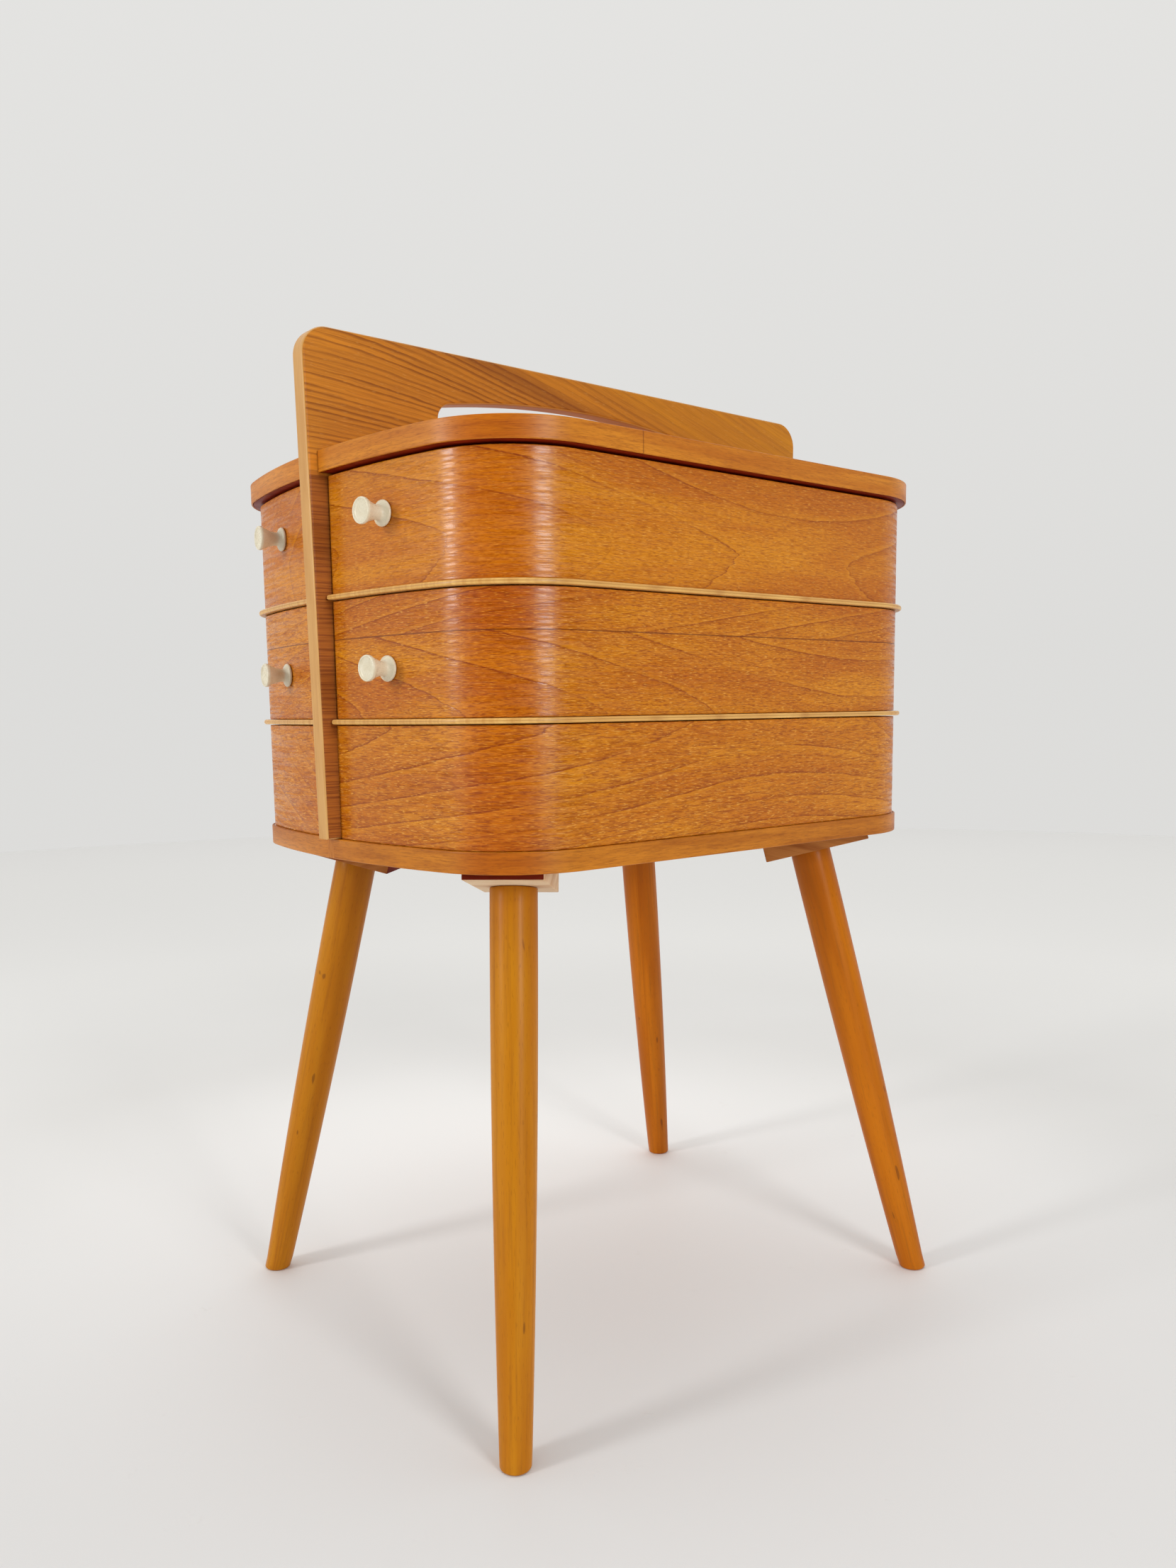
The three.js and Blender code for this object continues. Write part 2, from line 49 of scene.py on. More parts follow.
# ---------------- shape of the cabinet, millimetres

BOARD = 16
BENT_WALL = 6
EDGING = 1.5
GLUE_GAP = 0.3
PANEL_GAP = 2
HALF_LENGTH = 267.5
HALF_DEPTH = 202.5
END_BOW_RADIUS = 629
CORNER_RADIUS = 85
WALL_INSET = 7.5
PLYWOOD_INSET = 2.3
BASE_INSET = 4.9
PANEL_FACE = BOARD / 2
FIXED_FACE = PANEL_FACE + GLUE_GAP
TRAY_FACE = PANEL_FACE + PANEL_GAP
PANEL_HALF_FOOT = 271.5
PANEL_HALF_TOP = 276.5
PANEL_CORNER_RADIUS = 22
SLOT_HALF_LENGTH = 158
SLOT_FLOOR = 760
SLOT_CROWN = 799.5
SLOT_ARCH_RADIUS = 850
SLOT_CORNER_RADIUS = 13
FEET_CENTRE = 8.4
PIVOT_X = HALF_LENGTH - PLYWOOD_INSET - 21
PIVOT_Y = PANEL_FACE + 22
SWING_RADIUS = 21.4
KNOB_OFFSET = 80
KNOB_RADIUS = 9.5
KNOB_WAIST_RADIUS = 5.2
# Where each leg meets the base, and how many degrees it and its block are turned off the diagonal
LEGS = {
    "front_left": (-174.5, -117.5, 4.4, 0),
    "front_right": (174.5, -117.5, -7.4, -5.8),
    "rear_left": (-170, 131.5, -10, -5),
    "rear_right": (179, 131.5, -11, -10.3),
}
LEG_SPLAY = math.radians(14)
LEG_TOP_RADIUS = 18.4
LEG_FOOT_RADIUS = 11.8
BLOCK_WIDTH = 60
BLOCK_DEPTH = 19.8
BLOCK_OUTER_REACH = 54.6
BLOCK_INNER_REACH = 40.6
BLOCK_EASING = 0.7
FOOT_ROUNDING = 2.4
LEG_SIDES = 64
LEG_STEPS = 36
KNOB_SIDES = 56
PANEL_ROUNDING = 2.2
PLYWOOD_ROUNDING = 1.7
EDGING_ROUNDING = 0.7
WALL_ROUNDING = 0.6
HINGE_BLOCK_ROUNDING = 0.8
EDGE_SUPPORT = 0.4  # strip beside a rounded edge that keeps the next face's shading flat

BOW_CENTRE = END_BOW_RADIUS - HALF_LENGTH
FILLET_Y = HALF_DEPTH - CORNER_RADIUS
FILLET_X = math.sqrt((END_BOW_RADIUS - CORNER_RADIUS) ** 2 - FILLET_Y**2) - BOW_CENTRE
FILLET_START = math.asin(FILLET_Y / (END_BOW_RADIUS - CORNER_RADIUS))
BOW_STEPS = 14
FILLET_STEPS = 30
FRONT_STEPS = 8

ENDS = {"front": -1, "rear": 1}
TIERS = ("middle", "upper")


def node_box(node):
    """Lowest and highest corners of a CAD node, in millimetres from the middle panel's middle plane."""
    return [[x / MM, y / MM + FEET_CENTRE, z / MM] for x, y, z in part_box(node)]


def span(node, axis=2):
    """Lowest and highest place of a CAD node along an axis, in millimetres."""
    low, high = node_box(node)
    return low[axis], high[axis]


# ---------------- node materials


class Shader:
    """A material made of nodes, with a short call for each kind of node."""

    def __init__(self, name):
        self.material = bpy.data.materials.new(name)
        self.material.use_nodes = True
        self.tree = self.material.node_tree
        self.surface = next(n for n in self.tree.nodes if n.type == "BSDF_PRINCIPLED")
        place = self.node("ShaderNodeAttribute")
        place.attribute_name = "grain"
        self.place = place.outputs["Vector"]
        split = self.node("ShaderNodeSeparateXYZ")
        self.tree.links.new(self.place, split.inputs[0])
        self.along, self.across, self.depth = split.outputs

    def node(self, kind):
        return self.tree.nodes.new(kind)

    def put(self, socket, value):
        if isinstance(value, bpy.types.NodeSocket):
            self.tree.links.new(value, socket)
        elif isinstance(value, (tuple, list)) and len(value) == 3 and socket.type == "RGBA":
            socket.default_value = (*value, 1)
        else:
            socket.default_value = value

    def math(self, operation, a, b=0.0, c=0.0):
        node = self.node("ShaderNodeMath")
        node.operation = operation
        for socket, value in zip(node.inputs, (a, b, c)):
            self.put(socket, value)
        return node.outputs[0]

    def times(self, a, b):
        return self.math("MULTIPLY", a, b)

    def gap(self, a, b):
        """How far apart two values are."""
        return self.math("ABSOLUTE", self.math("SUBTRACT", a, b))

    def point(self, x, y, z=0.0):
        node = self.node("ShaderNodeCombineXYZ")
        for socket, value in zip(node.inputs, (x, y, z)):
            self.put(socket, value)
        return node.outputs[0]

    def stretched(self, along, across, depth=1.0, shift=0.0):
        """The place on the wood, scaled separately along and across the grain."""
        return self.point(
            self.math("MULTIPLY_ADD", self.along, along, shift),
            self.times(self.across, across),
            self.times(self.depth, depth),
        )

    def noise(self, vector, scale=1.0, detail=2.0, roughness=0.5):
        node = self.node("ShaderNodeTexNoise")
        self.put(node.inputs["Vector"], vector)
        self.put(node.inputs["Scale"], scale)
        self.put(node.inputs["Detail"], detail)
        self.put(node.inputs["Roughness"], roughness)
        return node.outputs["Fac"]

    def ramp(self, value, low, high, out_low=0.0, out_high=1.0):
        node = self.node("ShaderNodeMapRange")
        node.interpolation_type = "SMOOTHSTEP"
        names = ("Value", "From Min", "From Max", "To Min", "To Max")
        for name, number in zip(names, (value, low, high, out_low, out_high)):
            self.put(node.inputs[name], number)
        return node.outputs[0]

    def mix(self, share, a, b, blend="MIX"):
        node = self.node("ShaderNodeMix")
        node.data_type = "RGBA"
        node.blend_type = blend
        self.put(node.inputs[0], share)
        self.put(node.inputs[6], a)
        self.put(node.inputs[7], b)
        return node.outputs[2]

    def stain(self, colour, mask, share, tint):
        """The colour with some of a tint where the mask is."""
        return self.mix(self.times(mask, share), colour, tint)

    def object_place(self):
        return self.node("ShaderNodeTexCoord").outputs["Object"]

    def bump(self, height, distance):
        node = self.node("ShaderNodeBump")
        self.put(node.inputs["Height"], height)
        self.put(node.inputs["Distance"], distance)
        node.inputs["Strength"].default_value = 1.0
        return node.outputs[0]

    def finish(
        self, colour, roughness, normal=None, specular=0.5, coat=0.0, coat_roughness=0.1, metallic=0.0
    ):
        inputs = self.surface.inputs
        self.put(inputs["Base Color"], colour)
        self.put(inputs["Roughness"], roughness)
        inputs["Specular IOR Level"].default_value = specular
        inputs["Coat Weight"].default_value = coat
        inputs["Coat Roughness"].default_value = coat_roughness
        inputs["Metallic"].default_value = metallic
        if normal is not None:
            self.put(inputs["Normal"], normal)
        return self.material


def srgb(text):
    """A linear colour from a hexadecimal one."""
    values = [int(text[i : i + 2], 16) / 255 for i in (0, 2, 4)]
    return tuple(v / 12.92 if v <= 0.04045 else ((v + 0.055) / 1.055) ** 2.4 for v in values)


def fibres(s, along=1.0):
    """Fine streaks along the grain, from 0 to 1."""
    coarse = s.noise(s.stretched(60 * along, 560, 3), detail=3, roughness=0.65)
    fine = s.noise(s.stretched(190 * along, 1400, 5), detail=2, roughness=0.6)
    return s.math("MULTIPLY_ADD", coarse, 0.42, s.times(fine, 0.58))


def corner_shade(s, colour):
    """Painted shade: deeper, redder colour where a strip faces diagonally round a corner of the cabinet.
    """
    facing = s.node("ShaderNodeSeparateXYZ")
    s.put(facing.inputs[0], s.node("ShaderNodeTexCoord").outputs["Normal"])
    both = s.math("ABSOLUTE", s.times(facing.outputs[0], facing.outputs[1]))
    return s.mix(s.ramp(both, 0.26, 0.49), colour, CORNER_SHADE_TINT, "MULTIPLY")


def flecks(s, low, high):
    """Short marks along the grain."""
    return s.ramp(s.noise(s.stretched(190, 1500, 7, 2.1), detail=1, roughness=0.4), low, high)


def cathedral(s, crest, squeeze, blunt, lean, bend, start, **_):
    """Growth rings cut lengthwise, as nested arches round a crest.

    Gives the millimetres across them, their steepness and how they fade towards the +X end."""
    along = s.times(s.along, 1000)
    height = s.math("MULTIPLY_ADD", s.across, 1000, -crest)
    above = s.math("MAXIMUM", height, 0)
    below = s.times(s.math("MINIMUM", height, 0), squeeze)
    squares = s.math("ADD", s.times(above, above), s.times(below, below))
    cone = s.math("SQRT", s.math("ADD", squares, blunt * blunt))
    beyond = s.math("MAXIMUM", s.math("SUBTRACT", along, start), 0)
    turned_back = s.times(s.times(beyond, beyond), -bend)
    level = s.math("ADD", s.math("MULTIPLY_ADD", along, lean, cone), turned_back)
    up = s.math("DIVIDE", s.math("MULTIPLY_ADD", below, squeeze, above), cone)
    side = s.math("MULTIPLY_ADD", beyond, -2 * bend, lean)
    steep = s.math("SQRT", s.math("ADD", s.times(up, up), s.times(side, side)))
    fade = s.ramp(beyond, 130, 240, 1.0, 0.35)
    return level, s.math("MAXIMUM", steep, 0.1), fade


def wander(s, level, amount, along=3.0, across=12.0):
    """Rings that drift and tremble a little, as grown wood does."""
    drift = s.noise(s.stretched(along, across, 2), detail=3, roughness=0.5)
    tremble = s.noise(s.stretched(30, 220, 3), detail=2, roughness=0.6)
    level = s.math("ADD", level, s.math("MULTIPLY_ADD", drift, 2 * amount, -amount))
    return s.math("ADD", level, s.math("MULTIPLY_ADD", tremble, 2.2, -1.1))


def ring_lines(s, level, steep, width, shift, thick, shade):
    """Thin dark lines where rings end, at shift and every width from it.

    Gives the lines, the soft shade on their inner side and the paler wood on their outer side."""
    offset = -shift / width
    share = s.math("FRACT", s.math("MULTIPLY_ADD", level, 1 / width, 0.5 + offset))
    off = s.math("DIVIDE", s.math("MULTIPLY_ADD", share, width, -width / 2), steep)
    line = s.ramp(s.math("ABSOLUTE", off), thick * 0.35, thick * 1.6, 1.0, 0.0)
    inner = s.times(s.ramp(off, -shade, 0, 0.0, 1.0), s.math("LESS_THAN", off, 0.0))
    outer = s.times(s.ramp(off, 0.5, shade * 0.8, 1.0, 0.0), s.math("GREATER_THAN", off, 0.0))
    ring = s.math("FLOOR", s.math("MULTIPLY_ADD", level, 1 / width, 0.5 + offset))
    patch = s.noise(s.point(s.times(s.along, 9), s.times(ring, 3.7), 0.5), detail=2)
    strength = s.ramp(patch, 0.36, 0.56, 0.25, 1.0)
    broken = s.ramp(s.noise(s.stretched(240, 700, 3), detail=1), 0.34, 0.5, 0.45, 1.0)
    line = s.times(s.times(line, strength), broken)
    return line, s.times(inner, strength), s.times(outer, strength)


def seam_line(s, place, colour, share, width):
    """A thin dark joint across the wood."""
    return s.mix(s.ramp(place, 0.0002, width, share, 0.0), colour, SEAM)


def slanted_strip(s, level, steep, joint):
    """Above the joint, a strip of another veneer whose rings slant down to the right."""
    strip = s.math("GREATER_THAN", s.across, joint)
    slanted = s.math("MULTIPLY_ADD", s.along, -150, s.times(s.across, 1000))
    slanted = s.times(slanted, 1.35)
    below = s.times(level, s.math("SUBTRACT", 1, strip))
    return s.math("ADD", below, s.times(slanted, strip)), s.math("MAXIMUM", steep, strip)


def veneer(name, figure):
    """Satin lacquered veneer with an arched figure, fine fibres, pale dashes and a few dark pores, with
    painted shade round the corners.
    """
    s = Shader(name)
    broad = s.noise(s.stretched(3.4, 22, 1.5), detail=3, roughness=0.6)
    colour = s.mix(s.ramp(broad, 0.34, 0.66), HONEY, AMBER)
    grain = fibres(s)
    colour = s.mix(s.ramp(grain, 0.42, 0.64, 0.0, figure["fibre"]), colour, LATE_WOOD)
    level, steep, fade = cathedral(s, **figure)
    joint = figure.get("joint")
    if joint is not None:
        level, steep = slanted_strip(s, level, steep, joint)
    level = wander(s, level, 2.5)
    width, shift = figure["width"], figure["shift"]
    main, inner, outer = ring_lines(s, level, steep, width, shift, 0.55, 7.0)
    minor, minor_inner, minor_outer = ring_lines(s, level, steep, width / 3, shift, 0.4, 2.2)
    pale = s.math("MAXIMUM", outer, s.times(minor_outer, 0.3))
    colour = s.stain(colour, pale, 0.42, HONEY)
    colour = s.stain(colour, inner, 0.22, LATE_WOOD)
    colour = s.stain(colour, minor_inner, 0.12, LATE_WOOD)
    colour = s.stain(colour, minor, 0.18, LATE_WOOD)
    colour = s.stain(colour, main, s.times(fade, 0.78), LATE_WOOD)
    colour = s.stain(colour, flecks(s, 0.6, 0.7), figure["fibre"] * 0.75, srgb("F0AE4C"))
    pore = s.ramp(s.noise(s.stretched(260, 1500, 11), detail=0), 0.76, 0.82)
    colour = s.stain(colour, pore, 0.5, LATE_WOOD)
    if joint is not None:
        colour = seam_line(s, s.gap(s.across, joint), colour, 0.7, 0.0007)
    # painted shade: deeper, redder colour where the strip faces diagonally round a corner
    colour = corner_shade(s, colour)
    height = s.math("SUBTRACT", s.times(grain, 0.6), s.times(main, 0.4))
    wear_and_painted_shade = s.noise(s.stretched(26, 430, 5, 4.0), detail=3, roughness=0.6)
    roughness = s.ramp(wear_and_painted_shade, 0.4, 0.6, 0.2, 0.48)
    relief = s.bump(height, 0.00013)
    return s.finish(colour, roughness, relief, specular=0.27, coat=0.04, coat_roughness=0.2)


def plain_wood(name, light, dark, line, gloss=0.36, stripes=0.35, specular=0.2, seam=None):
    """Straight-grained wood, such as an edging or a liner; seam is where an edging's two ends meet, and
    an edging with a seam also gets painted shade round the corners.
    """
    s = Shader(name)
    broad = s.noise(s.stretched(7, 90, 6), detail=3, roughness=0.6)
    colour = s.mix(s.ramp(broad, 0.3, 0.7), light, dark)
    grain = fibres(s, 0.7)
    colour = s.mix(s.ramp(grain, 0.42, 0.68, 0.0, stripes), colour, line)
    streak = s.ramp(s.noise(s.stretched(20, 260, 9), detail=2), 0.6, 0.72)
    colour = s.stain(colour, streak, 0.35, line)
    pore = flecks(s, 0.68, 0.76)
    colour = s.stain(colour, pore, 0.4, line)
    if seam is not None:
        colour = seam_line(s, s.gap(s.along, seam), colour, 0.5, 0.0008)
        # painted shade: deeper, redder colour where the edging faces diagonally round a corner
        colour = corner_shade(s, colour)
    roughness = s.ramp(broad, 0.3, 0.7, gloss - 0.04, gloss + 0.08)
    relief = s.bump(s.math("SUBTRACT", grain, pore), 0.00006)
    return s.finish(colour, roughness, relief, specular=specular, coat=0.04, coat_roughness=0.22)


def panel_wood(name):
    """Striped board: close lines at the -X end sweep down and open into broad soft bands, with painted
    shade below the lid.
    """
    s = Shader(name)
    run = s.math("ADD", s.times(s.along, 1000), 277)
    height = s.times(s.across, 1000)
    sweep = s.math("MULTIPLY_ADD", s.times(run, run), 0.00045, s.times(run, 0.06))
    fan = s.math("MULTIPLY_ADD", s.math("MAXIMUM", height, 720), 0.006, -3.7)
    level = s.math("ADD", height, s.times(sweep, fan))
    level = wander(s, level, 6, 4, 14)
    over = s.math("SUBTRACT", level, 850)
    soft = s.math("SQRT", s.math("MULTIPLY_ADD", over, over, 1600))
    phase = s.math("MULTIPLY_ADD", level, 0.25, s.times(s.math("ADD", over, soft), -0.085))
    ring = s.math("FRACT", phase)
    line = s.times(s.ramp(ring, 0.35, 0.85), s.ramp(ring, 0.88, 1.0, 1.0, 0.0))
    group = s.noise(s.point(s.times(s.along, 5), s.times(phase, 0.8), 0.4), detail=2)
    weight = s.times(s.ramp(group, 0.35, 0.62, 0.25, 1.0), s.ramp(level, 835, 915, 1.0, 0.22))
    base = s.mix(s.ramp(level, 840, 920), srgb("D88824"), srgb("D2881C"))
    broad = s.noise(s.point(s.times(s.along, 2.5), s.times(level, 0.05), 0.4), detail=3)
    colour = s.mix(s.ramp(broad, 0.35, 0.65, 0.0, 0.6), base, srgb("BC7422"))
    streak = s.ramp(s.gap(level, 852), 3, 15, 0.55, 0.0)
    colour = s.mix(streak, colour, srgb("8A4C1C"))
    colour = s.stain(colour, s.times(line, weight), 0.72, srgb("7A3A10"))
    grain = s.noise(s.point(s.times(s.along, 34), s.times(level, 1.1), 0.2), detail=3)
    colour = s.mix(s.ramp(grain, 0.45, 0.72, 0.0, 0.34), colour, srgb("8A4A18"))
    pale = s.ramp(s.noise(s.stretched(150, 900, 3), detail=1), 0.64, 0.72)
    colour = s.stain(colour, pale, 0.25, srgb("E0A75A"))
    # Painted shade on the panel face below the lid, beside the trays, with fine dark grain in it
    shade_below_lid = s.ramp(s.across, 0.716, 0.722, 1.0, 0.0)
    colour = s.stain(colour, shade_below_lid, 0.8, srgb("A45C22"))
    fine = s.ramp(s.noise(s.stretched(14, 620, 2), detail=2, roughness=0.7), 0.44, 0.62)
    colour = s.stain(colour, s.times(fine, shade_below_lid), 0.6, srgb("6A2E10"))
    relief = s.bump(s.math("SUBTRACT", grain, s.times(line, 0.5)), 0.00008)
    roughness = s.ramp(grain, 0.3, 0.7, 0.36, 0.5)
    return s.finish(colour, roughness, relief, specular=0.18, coat=0.03, coat_roughness=0.24)


def panel_edge_wood(name):
    """Pale lipping round the board: its fibres run along whichever edge they are on."""
    s = Shader(name)
    broad = s.noise(s.stretched(9, 9, 60), detail=3, roughness=0.6)
    colour = s.mix(s.ramp(broad, 0.3, 0.7), srgb("D6A460"), srgb("C68F4A"))
    grain = s.noise(s.stretched(16, 16, 1300), detail=3, roughness=0.6)
    colour = s.mix(s.ramp(grain, 0.45, 0.75, 0.0, 0.3), colour, srgb("A9692C"))
    return s.finish(colour, 0.42, s.bump(grain, 0.00006), specular=0.3, coat=0.1, coat_roughness=0.25)


def plywood(name):
    """Thin birch plywood face, with fibres and darker patches."""
    s = Shader(name)
    broad = s.noise(s.stretched(6, 26, 5), detail=3)
    colour = s.mix(s.ramp(broad, 0.3, 0.7), srgb("D8A764"), srgb("C48C42"))
    grain = fibres(s)
    colour = s.mix(s.ramp(grain, 0.42, 0.7, 0.0, 0.4), colour, srgb("A8692C"))
    patch = s.ramp(s.noise(s.stretched(22, 60, 9), detail=2), 0.62, 0.74)
    colour = s.stain(colour, patch, 0.35, srgb("9A5A22"))
    return s.finish(colour, 0.42, s.bump(grain, 0.00008), specular=0.3, coat=0.1, coat_roughness=0.25)


def ply_rim(name):
    """Rounded plywood rim: pale lacquered veneers with a darker core line and darker lengths."""
    s = Shader(name)
    layer = s.gap(s.depth, 0.0022)
    broad = s.noise(s.stretched(16, 300, 5), detail=3)
    colour = s.mix(s.ramp(broad, 0.3, 0.7), srgb("EABA6A"), srgb("D49C50"))
    core = s.ramp(layer, 0.0003, 0.0007, 0.4, 0.0)
    colour = s.mix(core, colour, srgb("94561F"))
    patch = s.ramp(s.noise(s.point(s.times(s.along, 24), 0.3, 0.1), detail=2), 0.56, 0.68)
    colour = s.stain(colour, patch, 0.5, srgb("9C5C20"))
    chip = s.ramp(s.noise(s.point(s.times(s.along, 60), 0.7, 0.3), detail=0), 0.8, 0.83)
    colour = s.stain(colour, chip, 0.7, srgb("F2DDB0"))
    return s.finish(colour, 0.38, s.bump(broad, 0.00006), specular=0.3, coat=0.12, coat_roughness=0.22)


def beech(name, light, dark):
    """Turned, lacquered beech leg: grain along it, short rays, painted shade at its top under the block
    and a few dark spots.
    """
    s = Shader(name)
    broad = s.noise(s.stretched(4, 46, 20), detail=3, roughness=0.55)
    colour = s.mix(s.ramp(broad, 0.3, 0.7), light, dark)
    streak = s.noise(s.stretched(9, 260, 20), detail=3, roughness=0.6)
    colour = s.mix(s.ramp(streak, 0.48, 0.75, 0.0, 0.5), colour, srgb("9C5A18"))
    rays = s.ramp(s.noise(s.stretched(140, 1100, 20), detail=0), 0.66, 0.76)
    colour = s.stain(colour, rays, 0.28, srgb("905214"))
    spots = s.ramp(s.noise(s.stretched(50, 130, 31), detail=0), 0.82, 0.86)
    colour = s.stain(colour, spots, 0.6, srgb("6E3A14"))
    # painted shade: darker at the top of the leg, under its block
    shade = s.ramp(s.along, 0.0, 0.07, 0.35, 0.0)
    colour = s.mix(shade, colour, srgb("8E4E14"))
    roughness = s.ramp(streak, 0.3, 0.7, 0.3, 0.42)
    relief = s.bump(streak, 0.00006)
    return s.finish(colour, roughness, relief, specular=0.1, coat=0.02, coat_roughness=0.2)


def cream_plastic(name):
    """Moulded knob, a little yellowed and scuffed."""
    s = Shader(name)
    tint = s.noise(s.place, scale=160, detail=2)
    colour = s.mix(s.ramp(tint, 0.3, 0.7), srgb("E4DBC2"), srgb("DDD2B6"))
    wear_and_painted_shade = s.noise(s.place, scale=900, detail=1)
    roughness = s.ramp(wear_and_painted_shade, 0.3, 0.7, 0.24, 0.36)
    return s.finish(colour, roughness, s.bump(wear_and_painted_shade, 0.00002), specular=0.45)


def bright_steel(name):
    s = Shader(name)
    brushed = s.noise(s.object_place(), scale=700, detail=2)
    colour = s.mix(brushed, (0.5, 0.5, 0.51), (0.68, 0.68, 0.69))
    return s.finish(colour, s.ramp(brushed, 0.3, 0.7, 0.22, 0.36), metallic=1.0)


def hidden_wood(name):
    """For the dowels, which keep their CAD mesh."""
    s = Shader(name)
    grain = s.noise(s.object_place(), scale=180, detail=3)
    colour = s.mix(s.ramp(grain, 0.3, 0.7), srgb("D6A25A"), srgb("BE8238"))
    return s.finish(colour, 0.5)


def block_wood(name, light, dark):
    s = Shader(name)
    broad = s.noise(s.stretched(18, 90, 15), detail=3)
    colour = s.mix(s.ramp(broad, 0.3, 0.7), light, dark)
    grain = fibres(s)
    colour = s.mix(s.ramp(grain, 0.42, 0.75, 0.0, 0.45), colour, dark)
    return s.finish(colour, 0.6, s.bump(grain, 0.00008), specular=0.08)


HONEY = srgb("D68716")
AMBER = srgb("C06B0F")
LATE_WOOD = srgb("8A3A04")
SEAM = srgb("5A1E08")
# colour of the painted shade round the corners of the bent strips
CORNER_SHADE_TINT = (0.88, 0.68, 0.4)
# Each tier's figure: its crest's height, how its arches lie, its rings' width and its fibres' strength
FIGURES = {
    "upper": {"crest": 658, "squeeze": 0.5, "blunt": 13, "lean": 0.21, "bend": 0.0009, "start": -60,
              "width": 26, "shift": 9, "fibre": 0.6},
    "middle": {"crest": 531, "squeeze": 1, "blunt": 35, "lean": 0.19, "bend": 0.00045, "start": -50,
               "width": 21, "shift": 8, "fibre": 0.76, "joint": 0.596},
    "bottom": {"crest": 536, "squeeze": 1, "blunt": 35, "lean": 0.12, "bend": 0.0006, "start": -50,
               "width": 16, "shift": 12.5, "fibre": 0.76},
    "top": {"crest": 60, "squeeze": 1, "blunt": 30, "lean": 0.12, "bend": 0.0002, "start": -50,
            "width": 19, "shift": 0, "fibre": 0.6},
}
VENEER = {tier: veneer(f"veneer_{tier}", figure) for tier, figure in FIGURES.items()}
PANEL_WOOD = panel_wood("panel_wood")
PANEL_EDGE = panel_edge_wood("panel_edge")
LID_BAND = plain_wood(
    "lid_band", srgb("D68826"), srgb("BC6C18"), srgb("8A4410"), stripes=0.5, seam=-0.115
)
BASE_BAND = plain_wood(
    "base_band", srgb("CC7E20"), srgb("B06412"), srgb("803E0C"), stripes=0.5, seam=0.016
)
# Painted shade: a very dark red for the lid's underside, standing in for the shadow in the gap under the
# lid
SHADED_UNDERSIDE = plain_wood("lid_underside_painted_shade", srgb("86240C"), srgb("701A08"), srgb("581206"), specular=0.04)
PLY_FACE = plywood("plywood_face")
PLY_RIM = ply_rim("plywood_rim")
INSIDE_WOOD = plain_wood("inside_wood", srgb("D9AA69"), srgb("C88F4B"), srgb("A2672E"), gloss=0.5)
YELLOW_BEECH = beech("yellow_beech", srgb("C88218"), srgb("BA7010"))
ORANGE_BEECH = beech("orange_beech", srgb("CA7412"), srgb("B4600C"))
PALE_BLOCK = block_wood("pale_block", srgb("F4DAB6"), srgb("D8AE82"))
BROWN_BLOCK = block_wood("brown_block", srgb("B87A40"), srgb("8A4A20"))
LEG_AND_BLOCK_WOOD = {
    "front_left": (YELLOW_BEECH, PALE_BLOCK),
    "front_right": (ORANGE_BEECH, BROWN_BLOCK),
    "rear_left": (YELLOW_BEECH, BROWN_BLOCK),
    "rear_right": (ORANGE_BEECH, PALE_BLOCK),
}
BLOCK_END = block_wood("block_end", srgb("802810"), srgb("641A08"))
PLASTIC = cream_plastic("knob_plastic")
STEEL = bright_steel("bright_steel")
CORE_WOOD = hidden_wood("core_wood")

# ---------------- mesh making


def make(name, points, faces, grain, materials, body, slot, replaced, pick=None, sharp=40):
    """A mesh piece from millimetre points; grain holds each point's place on the wood, in metres."""
    mesh = bpy.data.meshes.new(name)
    places = (np.asarray(points, float) - (0, FEET_CENTRE, 0)) * MM
    mesh.from_pydata(places.tolist(), [], [list(map(int, f)) for f in faces])
    layer = mesh.attributes.new("grain", "FLOAT_VECTOR", "POINT")
    layer.data.foreach_set("vector", np.asarray(grain, np.float32).ravel())
    for material in materials:
        mesh.materials.append(material)
    tidy = bmesh.new()
    tidy.from_mesh(mesh)
    bmesh.ops.recalc_face_normals(tidy, faces=tidy.faces)
    if pick is not None:
        for face in tidy.faces:
            face.material_index = pick(face)
    tidy.to_mesh(mesh)
    tidy.free()
    mesh.shade_smooth()
    mesh.set_sharp_from_angle(angle=math.radians(sharp))
    piece = bpy.data.objects.new(name, mesh)
    bpy.context.scene.collection.objects.link(piece)
    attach(piece, body)
    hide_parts(*replaced)


def rounded(low, high, radius, steps=3):
    """Inset and height pairs up the side of a board whose edges are rounded."""
    turn = [math.pi / 2 * i / steps for i in range(steps + 1)]
    rise = [(radius * (1 - math.sin(a)), low + radius * (1 - math.cos(a))) for a in turn]
    fall = [(inset, low + high - z) for inset, z in reversed(rise)]
    ease = radius + EDGE_SUPPORT
    middle = [(0, low + ease), (0, high - ease)]
    return [(ease, low), *rise, *middle, *fall, (ease, high)]


def grid_faces(rings, count, closed=False):
    """Quads between rings of points that are numbered one ring after another."""
    faces = []
    for i in range(rings if closed else rings - 1):
        k = (i + 1) % rings
        for j in range(count):
            m = (j + 1) % count
            faces.append((i * count + j, i * count + m, k * count + m, k * count + j))
    return faces


